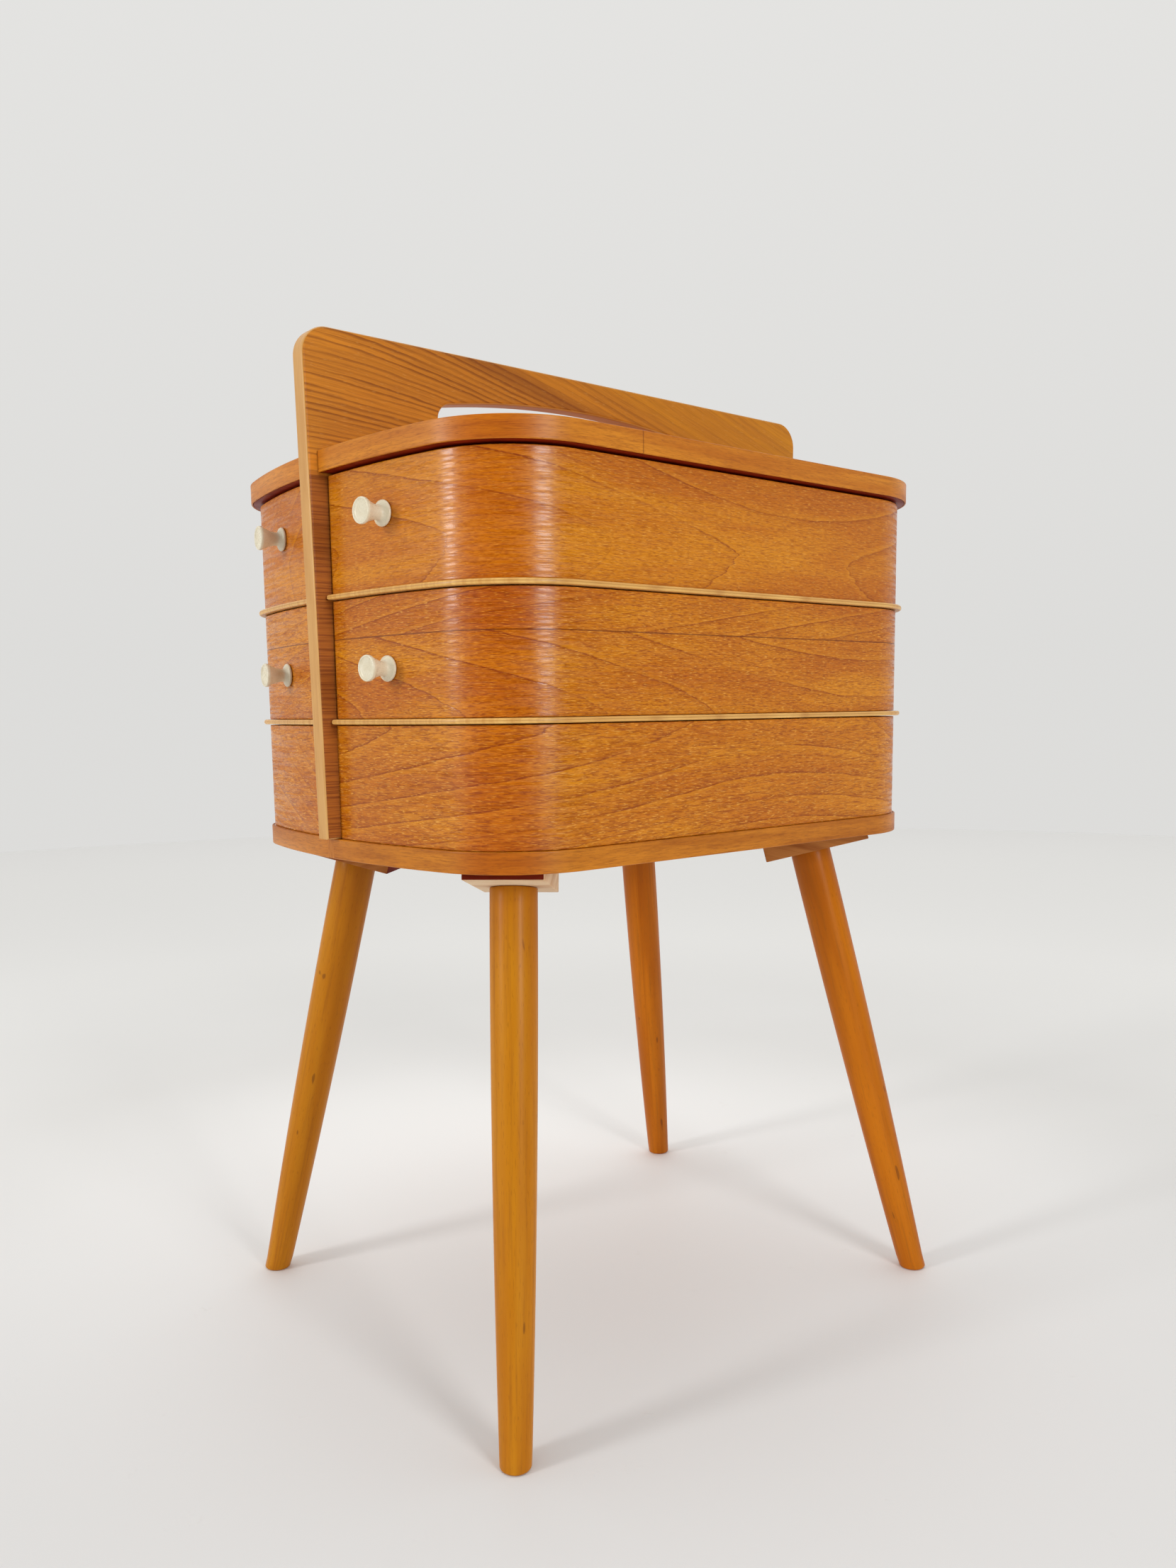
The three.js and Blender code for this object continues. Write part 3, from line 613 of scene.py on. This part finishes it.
def slab(name, loops_at, profile, materials, body, slot, replaced, lay=None, grain=None, pick=None):
    """A board: loops_at(inset) gives its outline and its hole, and profile goes up its side.

    lay turns (u, v, w) into a place in space, and grain gives the place on the wood."""
    points, faces = [], []
    sizes = [len(loop) for loop in loops_at(0)]
    for inset, w in profile:
        for loop in loops_at(inset):
            points.extend((u, v, w) for u, v in loop)
    total = sum(sizes)
    start = 0
    for size in sizes:
        for ring in range(len(profile) - 1):
            low, high = ring * total + start, (ring + 1) * total + start
            for j in range(size):
                k = (j + 1) % size
                faces.append((low + j, low + k, high + k, high + j))
        start += size
    for ring in (0, len(profile) - 1):
        base = ring * total
        if len(sizes) == 1:
            faces.append(list(range(base, base + total)))
            continue
        loops, at = [], base
        for size in sizes:
            loops.append([Vector(points[at + j]) for j in range(size)])
            at += size
        faces.extend([base + i for i in tri] for tri in tessellate_polygon(loops))
    flat = np.array(points, float)
    placed = flat if lay is None else np.array([lay(*p) for p in flat])
    wood = flat * MM if grain is None else np.array([grain(*p) for p in flat])
    make(name, placed, faces, wood, materials, body, slot, replaced, pick)


def box_slab(name, low, high, radius, body, slot, replaced, order):
    """A rectangular board between two corners; order says which axes its grain runs along and across."""
    (x0, y0, z0), (x1, y1, z1) = low, high

    def loops_at(inset):
        a, b, c, d = x0 + inset, x1 - inset, y0 + inset, y1 - inset
        return [[(a, c), (b, c), (b, d), (a, d)]]

    def grain(*place):
        return [place[axis] * MM for axis in order]

    slab(name, loops_at, rounded(z0, z1, radius), [INSIDE_WOOD], body, slot, replaced, grain=grain)


# ---------------- plan outline of the cabinet


def end_x(inset, y):
    return math.sqrt((END_BOW_RADIUS - inset) ** 2 - y * y) - BOW_CENTRE


def relief_y(inset, face):
    """Where the swing corner at the +X end stops a line at this inset from reaching the panel."""
    y = face
    for _ in range(20):
        off = end_x(inset, y) - PIVOT_X
        if off < SWING_RADIUS:
            y = max(face, PIVOT_Y - math.sqrt(SWING_RADIUS**2 - off * off))
    return y


def quarter(inset, from_panel):
    bow = END_BOW_RADIUS - inset
    a = np.linspace(math.asin(from_panel / bow), FILLET_START, BOW_STEPS + 1)[:-1]
    b = np.linspace(FILLET_START, math.pi / 2, FILLET_STEPS + 1)
    radius = CORNER_RADIUS - inset
    xs = np.concatenate([bow * np.cos(a) - BOW_CENTRE, FILLET_X + radius * np.cos(b)])
    ys = np.concatenate([bow * np.sin(a), FILLET_Y + radius * np.sin(b)])
    return xs, ys


def outer_edge(inset, left, right, side):
    """The edge of one half at an inset, from the panel at -X round to the panel at +X."""
    lx, ly = quarter(inset, left)
    rx, ry = quarter(inset, right)
    middle = np.linspace(-FILLET_X, FILLET_X, FRONT_STEPS + 1)[1:-1]
    xs = np.concatenate([-lx, middle, rx[::-1]])
    ys = np.concatenate([ly, np.full(len(middle), HALF_DEPTH - inset), ry[::-1]])
    return np.stack([xs, side * ys], axis=1)


def run_length(path):
    steps = np.hypot(*np.diff(path, axis=0).T)
    run = np.concatenate([[0], np.cumsum(steps)])
    return run - np.interp(0, path[:, 0], run) if path[0, 0] < path[-1, 0] else run


REAR_RUN_SHIFT = 60
REFERENCE_RUN = run_length(outer_edge(WALL_INSET, FIXED_FACE, FIXED_FACE, -1))


def band(
    name, outer, thickness, low, high, side, face, radius, material, body, slot, replaced, swing, seed
):
    """A strip that follows the plan outline, such as a bent wall or an edging."""
    section = rounded(low, high, radius)
    half = [(outer + inset, z) for inset, z in section[1:-1]]
    other = [(outer + thickness - inset, z) for inset, z in reversed(section[1:-1])]
    near, far = outer + radius + EDGE_SUPPORT, outer + thickness - radius - EDGE_SUPPORT
    middle = [(near, high), (far, high)]
    bottom = [(far, low), (near, low)]
    loop = [*half, *middle, *other, *bottom] if thickness > 2 * radius + 1 else [*half, *other]
    paths = []
    for inset, _ in loop:
        right = relief_y(inset, face) if swing else face
        paths.append(outer_edge(inset, face, right, side))
    points, grain = [], []
    along = REFERENCE_RUN if side < 0 else REAR_RUN_SHIFT - REFERENCE_RUN
    for i in range(len(paths[0])):
        for (inset, z), path in zip(loop, paths):
            points.append((path[i][0], path[i][1], z))
            grain.append((along[i] * MM, z * MM, seed + inset * MM))
    count = len(loop)
    faces = grid_faces(len(paths[0]), count)
    faces.append(list(range(count)))
    faces.append(list(range(len(points) - count, len(points))))
    make(name, points, faces, grain, [material], body, slot, replaced)


# ---------------- pieces


def build_base():
    low, high = span("base_board")

    def ring(inset):
        front = outer_edge(BASE_INSET + EDGING + GLUE_GAP + inset, 0, 0, -1)
        rear = outer_edge(BASE_INSET + EDGING + GLUE_GAP + inset, 0, 0, 1)[::-1]
        return [[*map(tuple, front), *map(tuple, rear[1:-1])]]

    profile = [(0.4, low), (0, low + 0.2), (0, high - 0.2), (0.4, high)]
    slab("base_panel", ring, profile, [VENEER["top"]], "root", "veneer", ["base_board"])
    section = rounded(low, high, EDGING_ROUNDING)[1:-1]
    loop = [(BASE_INSET + inset, z) for inset, z in section]
    loop += [(BASE_INSET + EDGING, z) for z in (high, low)]
    points, grain = [], []
    fronts = [outer_edge(inset, 0, 0, -1) for inset, _ in loop]
    rears = [outer_edge(inset, 0, 0, 1)[::-1][1:-1] for inset, _ in loop]
    runs = [np.concatenate([f, r]) for f, r in zip(fronts, rears)]
    total = run_length(np.concatenate([fronts[0], rears[0]]))
    for i in range(len(runs[0])):
        for (inset, z), run in zip(loop, runs):
            points.append((*run[i], z))
            grain.append((total[i] * MM, z * MM, 0.5 + inset * MM))
    faces = grid_faces(len(runs[0]), len(loop), closed=True)
    make("base_rim", points, faces, grain, [BASE_BAND], "root", "edging", ["base_edging"])


def hand_slot(grow):
    """The slot's outline, made larger by grow."""
    arch_z = SLOT_CROWN - SLOT_ARCH_RADIUS
    r = SLOT_CORNER_RADIUS
    corner_x = SLOT_HALF_LENGTH - r
    corner_z = arch_z + math.sqrt((SLOT_ARCH_RADIUS - r) ** 2 - corner_x**2)
    lean = math.asin(corner_x / (SLOT_ARCH_RADIUS - r))

    def arc(cx, cz, radius, start, end, steps):
        turn = np.linspace(start, end, steps + 1)
        return [(cx + radius * math.cos(a), cz + radius * math.sin(a)) for a in turn]

    right = arc(corner_x, SLOT_FLOOR + r, r + grow, -math.pi / 2, 0, 10)
    right += arc(corner_x, corner_z, r + grow, 0, math.pi / 2 - lean, 10)
    right += arc(0, arch_z, SLOT_ARCH_RADIUS + grow, math.pi / 2 - lean, math.pi / 2, 16)[1:]
    left = [(-x, z) for x, z in reversed(right[:-1])]
    return right + left


def build_panel():
    foot, top = span("center_panel")
    taper = math.atan((PANEL_HALF_TOP - PANEL_HALF_FOOT) / (top - foot))

    def loops_at(inset):
        r = PANEL_CORNER_RADIUS
        turn = np.linspace(-taper, math.pi / 2, 15)
        corner = [(PANEL_HALF_TOP - r + (r - inset) * math.cos(a), top - r + (r - inset) * math.sin(a))
                  for a in turn]
        right = [(PANEL_HALF_FOOT - inset, foot + inset), *corner]
        left = [(-x, z) for x, z in reversed(right)]
        return [right + left, hand_slot(inset)]

    def pick(face):
        return 0 if abs(face.normal.y) > 0.8 else 1

    profile = rounded(-PANEL_FACE, PANEL_FACE, PANEL_ROUNDING, 5)
    slab("middle_panel", loops_at, profile, [PANEL_WOOD, PANEL_EDGE], "root", "panel_wood",
         ["center_panel"], lay=lambda u, v, w: (u, w, v), pick=pick)


def half_outline(inset, side, face, swing, corner):
    """One half's outline: the outer edge, and at the +X end the rounded swing corner of a tray."""
    near = face + corner
    if not swing:
        path = outer_edge(inset + corner, near, near, side)
        return [tuple(p) for p in path]
    radius = SWING_RADIUS - corner
    y = near
    for _ in range(20):
        off = end_x(inset + corner, y) - PIVOT_X
        y = PIVOT_Y - math.sqrt(max(radius**2 - off * off, 0))
    path = outer_edge(inset + corner, near, y, side)
    start = math.atan2(PIVOT_Y - y, end_x(inset + corner, y) - PIVOT_X)
    stop = math.asin((PIVOT_Y - near) / radius)
    turn = np.linspace(start, stop, 13)[1:]
    arc = [(PIVOT_X + radius * math.cos(a), side * (PIVOT_Y - radius * math.sin(a))) for a in turn]
    return [*map(tuple, path), *arc]


def build_liner(name, node, side, body, swing):
    """The flat wall of a tray beside the panel, eased where it swings past it."""
    (x0, y0, z0), (x1, y1, z1) = node_box(node)

    def loops_at(inset):
        near = min(abs(y0), abs(y1)) + inset
        far = max(abs(y0), abs(y1)) - inset
        right = x1 - inset
        eased = [(right, near)]
        radius = SWING_RADIUS - inset
        if swing and math.hypot(right - PIVOT_X, PIVOT_Y - near) > radius:
            start = math.acos((right - PIVOT_X) / radius)
            stop = math.asin((PIVOT_Y - near) / radius)
            eased = [(PIVOT_X + radius * math.cos(a), PIVOT_Y - radius * math.sin(a))
                     for a in np.linspace(start, stop, 5)]
        outline = [(right, far), *eased, (x0 + inset, near), (x0 + inset, far)]
        return [[(x, side * y) for x, y in outline]]

    slab(name, loops_at, rounded(z0, z1, WALL_ROUNDING), [INSIDE_WOOD], body, "plywood", [node],
         grain=lambda x, y, z: (x * MM, z * MM, y * MM))


def build_lid(end, side):
    low, high = span(f"{end}_lid")
    seed = 0.7 if side > 0 else 0.2

    def loops_at(inset):
        return [half_outline(EDGING + GLUE_GAP, side, FIXED_FACE, False, inset)]

    def pick(face):
        # faces looking down get the painted shade of the underside
        return 1 if face.normal.z < -0.5 else 0

    profile = [(0.5, low), (0.1, low + 0.2), (0.1, high - 0.2), (0.5, high)]
    slab(f"{end}_lid_board", loops_at, profile, [VENEER["top"], SHADED_UNDERSIDE], "root", "veneer",
         [f"{end}_lid"], grain=lambda x, y, z: (x * MM, y * MM, seed), pick=pick)
    band(f"{end}_lid_rim", 0, EDGING, low, high, side, FIXED_FACE, EDGING_ROUNDING, LID_BAND, "root",
         "edging", [f"{end}_lid_edging"], False, seed)


def build_bottom_compartment(end, side):
    low, high = span(f"{end}_bottom_wall")
    seed = 0.9 if side > 0 else 0.1
    band(f"{end}_bottom_shell", WALL_INSET, BENT_WALL, low, high, side, FIXED_FACE, WALL_ROUNDING,
         VENEER["bottom"], "root", "veneer", [f"{end}_bottom_wall"], False, seed)
    build_liner(f"{end}_bottom_liner", f"{end}_bottom_inner_wall", side, "root", False)


def knob_profile():
    """Radius and distance along a spool-shaped knob."""
    flare = []
    widening = KNOB_RADIUS - 0.9 - KNOB_WAIST_RADIUS
    for i in range(13):
        t = i / 12
        flare.append((KNOB_WAIST_RADIUS + widening * t**1.7, 5.6 + 11.0 * t))
    foot = [(0, 0), (8.8, 0), (9.25, 0.25), (9.5, 0.8), (9.45, 1.4), (9.1, 2.0), (8.2, 2.6), (6.8, 3.2),
            (5.8, 3.9), (5.35, 4.6)]
    head = [(9.1, 17.4), (9.4, 17.9), (9.5, 18.6), (9.5, 19.5), (9.35, 20.1), (9.0, 20.45), (8.6, 20.5),
            (8.2, 20.3), (7.9, 19.9), (7.5, 19.55), (6.5, 19.35), (4.0, 19.2), (1.5, 19.15), (0, 19.15)]
    return foot + flare + head


def turned(name, profile, origin, outward, sides, material, body, slot, replaced, seed):
    """A turned piece: rings of a profile along an axis."""
    axis = Vector(outward).normalized()
    first = axis.orthogonal().normalized()
    second = axis.cross(first)
    points, grain = [], []
    inner = [p for p in profile if p[0] > 0]
    for radius, along in inner:
        for j in range(sides):
            a = 2 * math.pi * j / sides
            off = (first * math.cos(a) + second * math.sin(a)) * radius
            points.append(Vector(origin) + axis * along + off)
            grain.append((along * MM, radius * math.sin(a) * MM, radius * math.cos(a) * MM + seed))
    faces = grid_faces(len(inner), sides)
    for ring, along in ((0, profile[0][1]), (len(inner) - 1, profile[-1][1])):
        points.append(Vector(origin) + axis * along)
        grain.append((along * MM, 0, seed))
        hub = len(points) - 1
        faces.extend((hub, ring * sides + j, ring * sides + (j + 1) % sides) for j in range(sides))
    make(name, [tuple(p) for p in points], faces, grain, [material], body, slot, replaced)


def build_knob(tray, side):
    low, high = span(f"{tray}_knob")
    height = (low + high) / 2
    tilt = math.asin(KNOB_OFFSET / (END_BOW_RADIUS - WALL_INSET))
    outward = (-math.cos(tilt), side * math.sin(tilt), 0)
    x = -end_x(WALL_INSET, KNOB_OFFSET)
    origin = (x + outward[0] * GLUE_GAP, side * KNOB_OFFSET + outward[1] * GLUE_GAP, height)
    turned(f"{tray}_pull", knob_profile(), origin, outward, KNOB_SIDES, PLASTIC, f"{tray}_tray",
           "knob_plastic", [f"{tray}_knob"], height * MM)


def build_tray(end, side, tier):
    tray = f"{end}_{tier}"
    body = f"{tray}_tray"
    low, high = span(f"{tray}_bottom")
    seed = 1.3 if side > 0 else 0.0

    def loops_at(inset):
        return [half_outline(PLYWOOD_INSET, side, TRAY_FACE, True, inset)]

    def pick(face):
        return 0 if abs(face.normal.z) > 0.9 else 1

    nose = rounded(low, high, PLYWOOD_ROUNDING, 5)
    middle = len(nose) // 2
    del nose[middle - 1 : middle + 1]  # the sheet is too thin for a flat strip between its two roundings
    slab(f"{tray}_sheet", loops_at, nose, [PLY_FACE, PLY_RIM], body, "plywood", [f"{tray}_bottom"],
         grain=lambda x, y, z: (x * MM, y * MM, (z - low) * MM), pick=pick)
    foot, head = span(f"{tray}_wall")
    band(f"{tray}_shell", WALL_INSET, BENT_WALL, foot, head, side, TRAY_FACE, WALL_ROUNDING,
         VENEER[tier], body, "veneer", [f"{tray}_wall"], True, seed)
    build_liner(f"{tray}_liner", f"{tray}_inner_wall", side, body, True)
    corners = node_box(f"{tray}_pivot_block")
    box_slab(f"{tray}_hinge_block", *corners, HINGE_BLOCK_ROUNDING, body, "beech",
             [f"{tray}_pivot_block"], (2, 0, 1))
    if tier == "upper":
        corners = node_box(f"{tray}_divider")
        box_slab(f"{tray}_partition", *corners, WALL_ROUNDING, body, "plywood",
                 [f"{tray}_divider"], (1, 2, 0))
    build_knob(tray, side)


def corner_frame(x, y, turn):
    """Outward and sideways at a corner, turned off the diagonal."""
    angle = math.atan2(math.copysign(1, y), math.copysign(1, x)) + math.radians(turn)
    return Vector((math.cos(angle), math.sin(angle), 0)), Vector((-math.sin(angle), math.cos(angle), 0))


def leg_axis(out):
    return out * math.sin(LEG_SPLAY) - Vector((0, 0, math.cos(LEG_SPLAY)))


def build_leg(corner, x, y, leg_turn, block_turn):
    out, over = corner_frame(x, y, leg_turn)
    block_out, block_over = corner_frame(x, y, block_turn)
    base = span("base_board")[0]
    top = Vector((x, y, base))
    axis = leg_axis(out)
    block_axis = leg_axis(block_out)
    side = over.cross(axis)
    start = top - Vector((0, 0, BLOCK_DEPTH))
    length = (base - BLOCK_DEPTH) / math.cos(LEG_SPLAY)
    seed = 3.0 + math.copysign(1, x) + 0.3 * math.copysign(1, y)
    points, grain = [], []

    def ring(along, radius, plane, level, lift=0.0):
        """A ring round the leg, sheared by level towards a cut square to the plane vector."""
        for j in range(LEG_SIDES):
            a = 2 * math.pi * j / LEG_SIDES
            off = (side * math.cos(a) + over * math.sin(a)) * radius
            slide = -off.dot(plane) / axis.dot(plane) * level
            point = start + axis * (along + slide) + off
            points.append((point.x, point.y, point.z + lift))
            grain.append(((along + slide) * MM, a * 0.016, seed))

    def radius_at(along):
        return LEG_TOP_RADIUS - (LEG_TOP_RADIUS - LEG_FOOT_RADIUS) * (along / length) ** 2

    for rise, easing in ((0, 1.2), (0, 0.8), (0.4, 0.2), (1.0, 0)):
        ring(GLUE_GAP + rise, radius_at(0) - easing, block_axis, 1)
    floor_plane = Vector((0, 0, -1))
    for i in range(1, LEG_STEPS):
        along = length * i / LEG_STEPS
        ring(along, radius_at(along), floor_plane, max(0.0, (i / LEG_STEPS - 0.9) * 10))
    for i in range(7):
        a = math.pi / 2 * i / 6
        inward, lift = FOOT_ROUNDING * (1 - math.cos(a)), FOOT_ROUNDING * (1 - math.sin(a))
        ring(length, radius_at(length) - inward, floor_plane, 1, lift)
    ring(length, radius_at(length) - FOOT_ROUNDING - 0.5, floor_plane, 1)
    faces = grid_faces(len(points) // LEG_SIDES, LEG_SIDES)
    faces.append(list(range(LEG_SIDES)))
    faces.append(list(range(len(points) - LEG_SIDES, len(points))))
    leg_wood, wedge_wood = LEG_AND_BLOCK_WOOD[corner]
    make(f"{corner}_turned_leg", points, faces, grain, [leg_wood], "root", "beech", [f"{corner}_leg"])
    build_block(corner, top, block_out, block_over, wedge_wood)


def build_block(corner, top, out, over, wood):
    """The wedge on a leg: level on top, square to the leg below, with ends that lean as the leg does."""
    half = BLOCK_WIDTH / 2
    tilt_u, tilt_w = -math.sin(LEG_SPLAY), math.cos(LEG_SPLAY)
    reaches = (-BLOCK_INNER_REACH, BLOCK_OUTER_REACH)
    bottom = [(reach * tilt_w, -reach * tilt_u - BLOCK_DEPTH) for reach in reaches]
    rise = [(-GLUE_GAP - w) / tilt_w for _, w in bottom]
    upper = [(u + up * tilt_u, -GLUE_GAP) for (u, _), up in zip(bottom, rise)]
    outline = [upper[0], bottom[0], bottom[1], upper[1]]
    shape = bmesh.new()
    corners = [shape.verts.new((u, v, w)) for v in (-half, half) for u, w in outline]
    shape.faces.new(corners[:4])
    shape.faces.new(corners[4:])
    for j in range(4):
        k = (j + 1) % 4
        shape.faces.new((corners[j], corners[k], corners[4 + k], corners[4 + j]))
    bmesh.ops.recalc_face_normals(shape, faces=shape.faces)
    edges = shape.edges[:]
    bmesh.ops.bevel(shape, geom=edges, offset=BLOCK_EASING, segments=2, profile=0.5, affect="EDGES")
    shape.verts.index_update()
    points = [top + out * v.co.x + over * v.co.y + Vector((0, 0, v.co.z)) for v in shape.verts]
    grain = [(v.co.y * MM, v.co.z * MM + v.co.x * MM * 0.2, v.co.x * MM + 2) for v in shape.verts]
    faces = [[v.index for v in f.verts] for f in shape.faces]
    shape.free()

    def pick(face):
        return 1 if abs(face.normal.dot(out)) > 0.6 and abs(face.normal.z) > 0.1 else 0

    make(f"{corner}_wedge", [tuple(p) for p in points], faces, grain, [wood, BLOCK_END], "root",
         "block_wood", [f"{corner}_leg_block"], pick, sharp=50)


build_base()
build_panel()
for end, side in ENDS.items():
    build_lid(end, side)
    build_bottom_compartment(end, side)
    for tier in TIERS:
        build_tray(end, side, tier)
for corner, place in LEGS.items():
    build_leg(corner, *place)

for name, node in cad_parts.items():
    look = CORE_WOOD if "dowel" in name else STEEL
    if not node.material_slots:
        node.data.materials.append(look)
    for place in node.material_slots:
        place.material = look

# ---------------- room, light and camera


def towards(azimuth, distance, height):
    """A place this far from the floor's middle; azimuth 0 is behind the cabinet, and 90 is at +X."""
    a = math.radians(azimuth)
    return (distance * math.sin(a), distance * math.cos(a), height)


ROOM = (0.725, 0.72, 0.705)
DIM_AZIMUTH = 198
DIM_SHARE = 0.15
FLOOR_RADIUS = 4.4
FLOOR_SIDES = 96
# Each lamp: its place, what it points at, its width and height, and its power in watts
LAMPS = {
    "overhead": ((0.4, 0.4, 3.6), (0, 0, 0.6), 4.0, 4.0, 27),
    "left_window": (towards(-80, 2.4, 1.14), (0, 0, 0.75), 0.42, 0.85, 21),
    "front_window": (towards(186, 2.4, 1.05), (0, 0, 0.75), 0.62, 0.95, 27),
}
CAMERA_PLACE = (-0.7101, -0.8534, 0.5407)
CAMERA_YAW, CAMERA_PITCH, CAMERA_ROLL = 39.975, -7.222, -0.795


def floor_material():
    """Pale floor with faint clouds and scuffs, and painted light and shade: lighter under the cabinet
    and far out, darker in a ring round it and towards the front-left, with a faint glow far out.
    """
    s = Shader("pale_floor")
    texture = s.object_place()
    broad = s.noise(texture, scale=1.3, detail=3)
    colour = s.mix(s.ramp(broad, 0.3, 0.7), (0.79, 0.785, 0.77), (0.82, 0.817, 0.805))
    distance = s.node("ShaderNodeVectorMath")
    distance.operation = "LENGTH"
    s.put(distance.inputs[0], texture)
    away = distance.outputs["Value"]
    # Painted light and shade by distance from the middle: lighter under the cabinet, a darker ring round
    # it, lighter further out and a little less at the rim
    colour = s.mix(s.ramp(away, 0.35, 0.9, 0.75, 0.0), colour, (0.98, 0.985, 0.98))
    colour = s.mix(s.ramp(away, 0.8, 1.8, 0.0, 0.95), colour, (0.93, 0.925, 0.91))
    colour = s.mix(s.ramp(away, 3.0, 4.3, 0.0, 0.6), colour, (0.9, 0.895, 0.885))
    # Painted shade: the floor is darker towards the front-left
    slope = s.node("ShaderNodeVectorMath")
    slope.operation = "DOT_PRODUCT"
    s.put(slope.inputs[0], texture)
    slope.inputs[1].default_value = (0.64, 0.77, 0)
    wear_and_painted_shade = s.ramp(slope.outputs["Value"], -0.4, 0.6, 1.0, 0.0)
    colour = s.mix(wear_and_painted_shade, colour, (0.79, 0.795, 0.8), "MULTIPLY")
    scuffs = s.ramp(s.noise(texture, scale=26, detail=4, roughness=0.7), 0.64, 0.8)
    colour = s.stain(colour, scuffs, 0.12, (0.6, 0.58, 0.55))
    # Painted light: the floor glows faintly further out
    s.put(s.surface.inputs["Emission Color"], (1, 1, 0.98))
    s.put(s.surface.inputs["Emission Strength"], s.ramp(away, 1.4, 4.2, 0.0, 0.07))
    return s.finish(colour, 0.55, s.bump(scuffs, 0.0003), specular=0.2)


def build_floor():
    disc = bmesh.new()
    turn = [2 * math.pi * i / FLOOR_SIDES for i in range(FLOOR_SIDES)]
    rim = [disc.verts.new((FLOOR_RADIUS * math.cos(a), FLOOR_RADIUS * math.sin(a), 0)) for a in turn]
    disc.faces.new(rim)
    mesh = bpy.data.meshes.new("floor")
    disc.to_mesh(mesh)
    disc.free()
    mesh.materials.append(floor_material())
    floor = bpy.data.objects.new("floor", mesh)
    bpy.context.scene.collection.objects.link(floor)


def softbox(name, place, target, width, height, power):
    data = bpy.data.lights.new(name, "AREA")
    data.shape = "RECTANGLE"
    data.size, data.size_y = width, height
    data.energy = power
    lamp = bpy.data.objects.new(name, data)
    lamp.location = place
    lamp.rotation_euler = (Vector(target) - Vector(place)).to_track_quat("-Z", "Y").to_euler()
    bpy.context.scene.collection.objects.link(lamp)


def build_world():
    """A bright room that lights the long front less than the rest; its walls all look pale."""
    world = bpy.data.worlds.new("studio")
    world.use_nodes = True
    nodes, links = world.node_tree.nodes, world.node_tree.links
    back = next(n for n in nodes if n.type == "BACKGROUND")
    place = nodes.new("ShaderNodeTexCoord")
    facing = nodes.new("ShaderNodeVectorMath")
    facing.operation = "DOT_PRODUCT"
    facing.inputs[1].default_value = towards(DIM_AZIMUTH, 1, 0)
    links.new(place.outputs["Generated"], facing.inputs[0])
    fade = nodes.new("ShaderNodeMapRange")
    fade.interpolation_type = "SMOOTHSTEP"
    for name, number in (("From Min", 0.05), ("From Max", 0.88), ("To Min", 1.0), ("To Max", DIM_SHARE)):
        fade.inputs[name].default_value = number
    links.new(facing.outputs["Value"], fade.inputs["Value"])
    seen = nodes.new("ShaderNodeMath")
    seen.operation = "MAXIMUM"
    links.new(fade.outputs[0], seen.inputs[0])
    links.new(nodes.new("ShaderNodeLightPath").outputs["Is Camera Ray"], seen.inputs[1])
    split = nodes.new("ShaderNodeSeparateXYZ")
    links.new(place.outputs["Generated"], split.inputs[0])
    lift = nodes.new("ShaderNodeMapRange")
    for name, number in (("From Min", 0.05), ("From Max", 0.6), ("To Min", 1.0), ("To Max", 1.09)):
        lift.inputs[name].default_value = number
    links.new(split.outputs["Z"], lift.inputs["Value"])
    strength = nodes.new("ShaderNodeMath")
    strength.operation = "MULTIPLY"
    links.new(seen.outputs[0], strength.inputs[0])
    links.new(lift.outputs[0], strength.inputs[1])
    back.inputs["Color"].default_value = (*ROOM, 1)
    links.new(strength.outputs[0], back.inputs["Strength"])
    bpy.context.scene.world = world


def build_camera():
    yaw, pitch, roll = (math.radians(a) for a in (CAMERA_YAW, CAMERA_PITCH, CAMERA_ROLL))
    forward = Vector((math.sin(yaw) * math.cos(pitch), math.cos(yaw) * math.cos(pitch), math.sin(pitch)))
    level = Vector((math.cos(yaw), -math.sin(yaw), 0))
    upright = level.cross(forward)
    right = level * math.cos(roll) + upright * math.sin(roll)
    up = upright * math.cos(roll) - level * math.sin(roll)
    data = bpy.data.cameras.new("camera")
    data.sensor_width = 36
    data.lens = 27.44
    data.shift_y = 0.0493
    data.clip_start = 0.01
    camera = bpy.data.objects.new("camera", data)
    axes = Matrix((right, up, -forward)).transposed()
    camera.matrix_world = Matrix.Translation(CAMERA_PLACE) @ axes.to_4x4()
    bpy.context.scene.collection.objects.link(camera)
    bpy.context.scene.camera = camera


build_floor()
build_world()
for name, lamp in LAMPS.items():
    softbox(name, *lamp)
build_camera()
bpy.context.scene.view_settings.view_transform = "Standard"
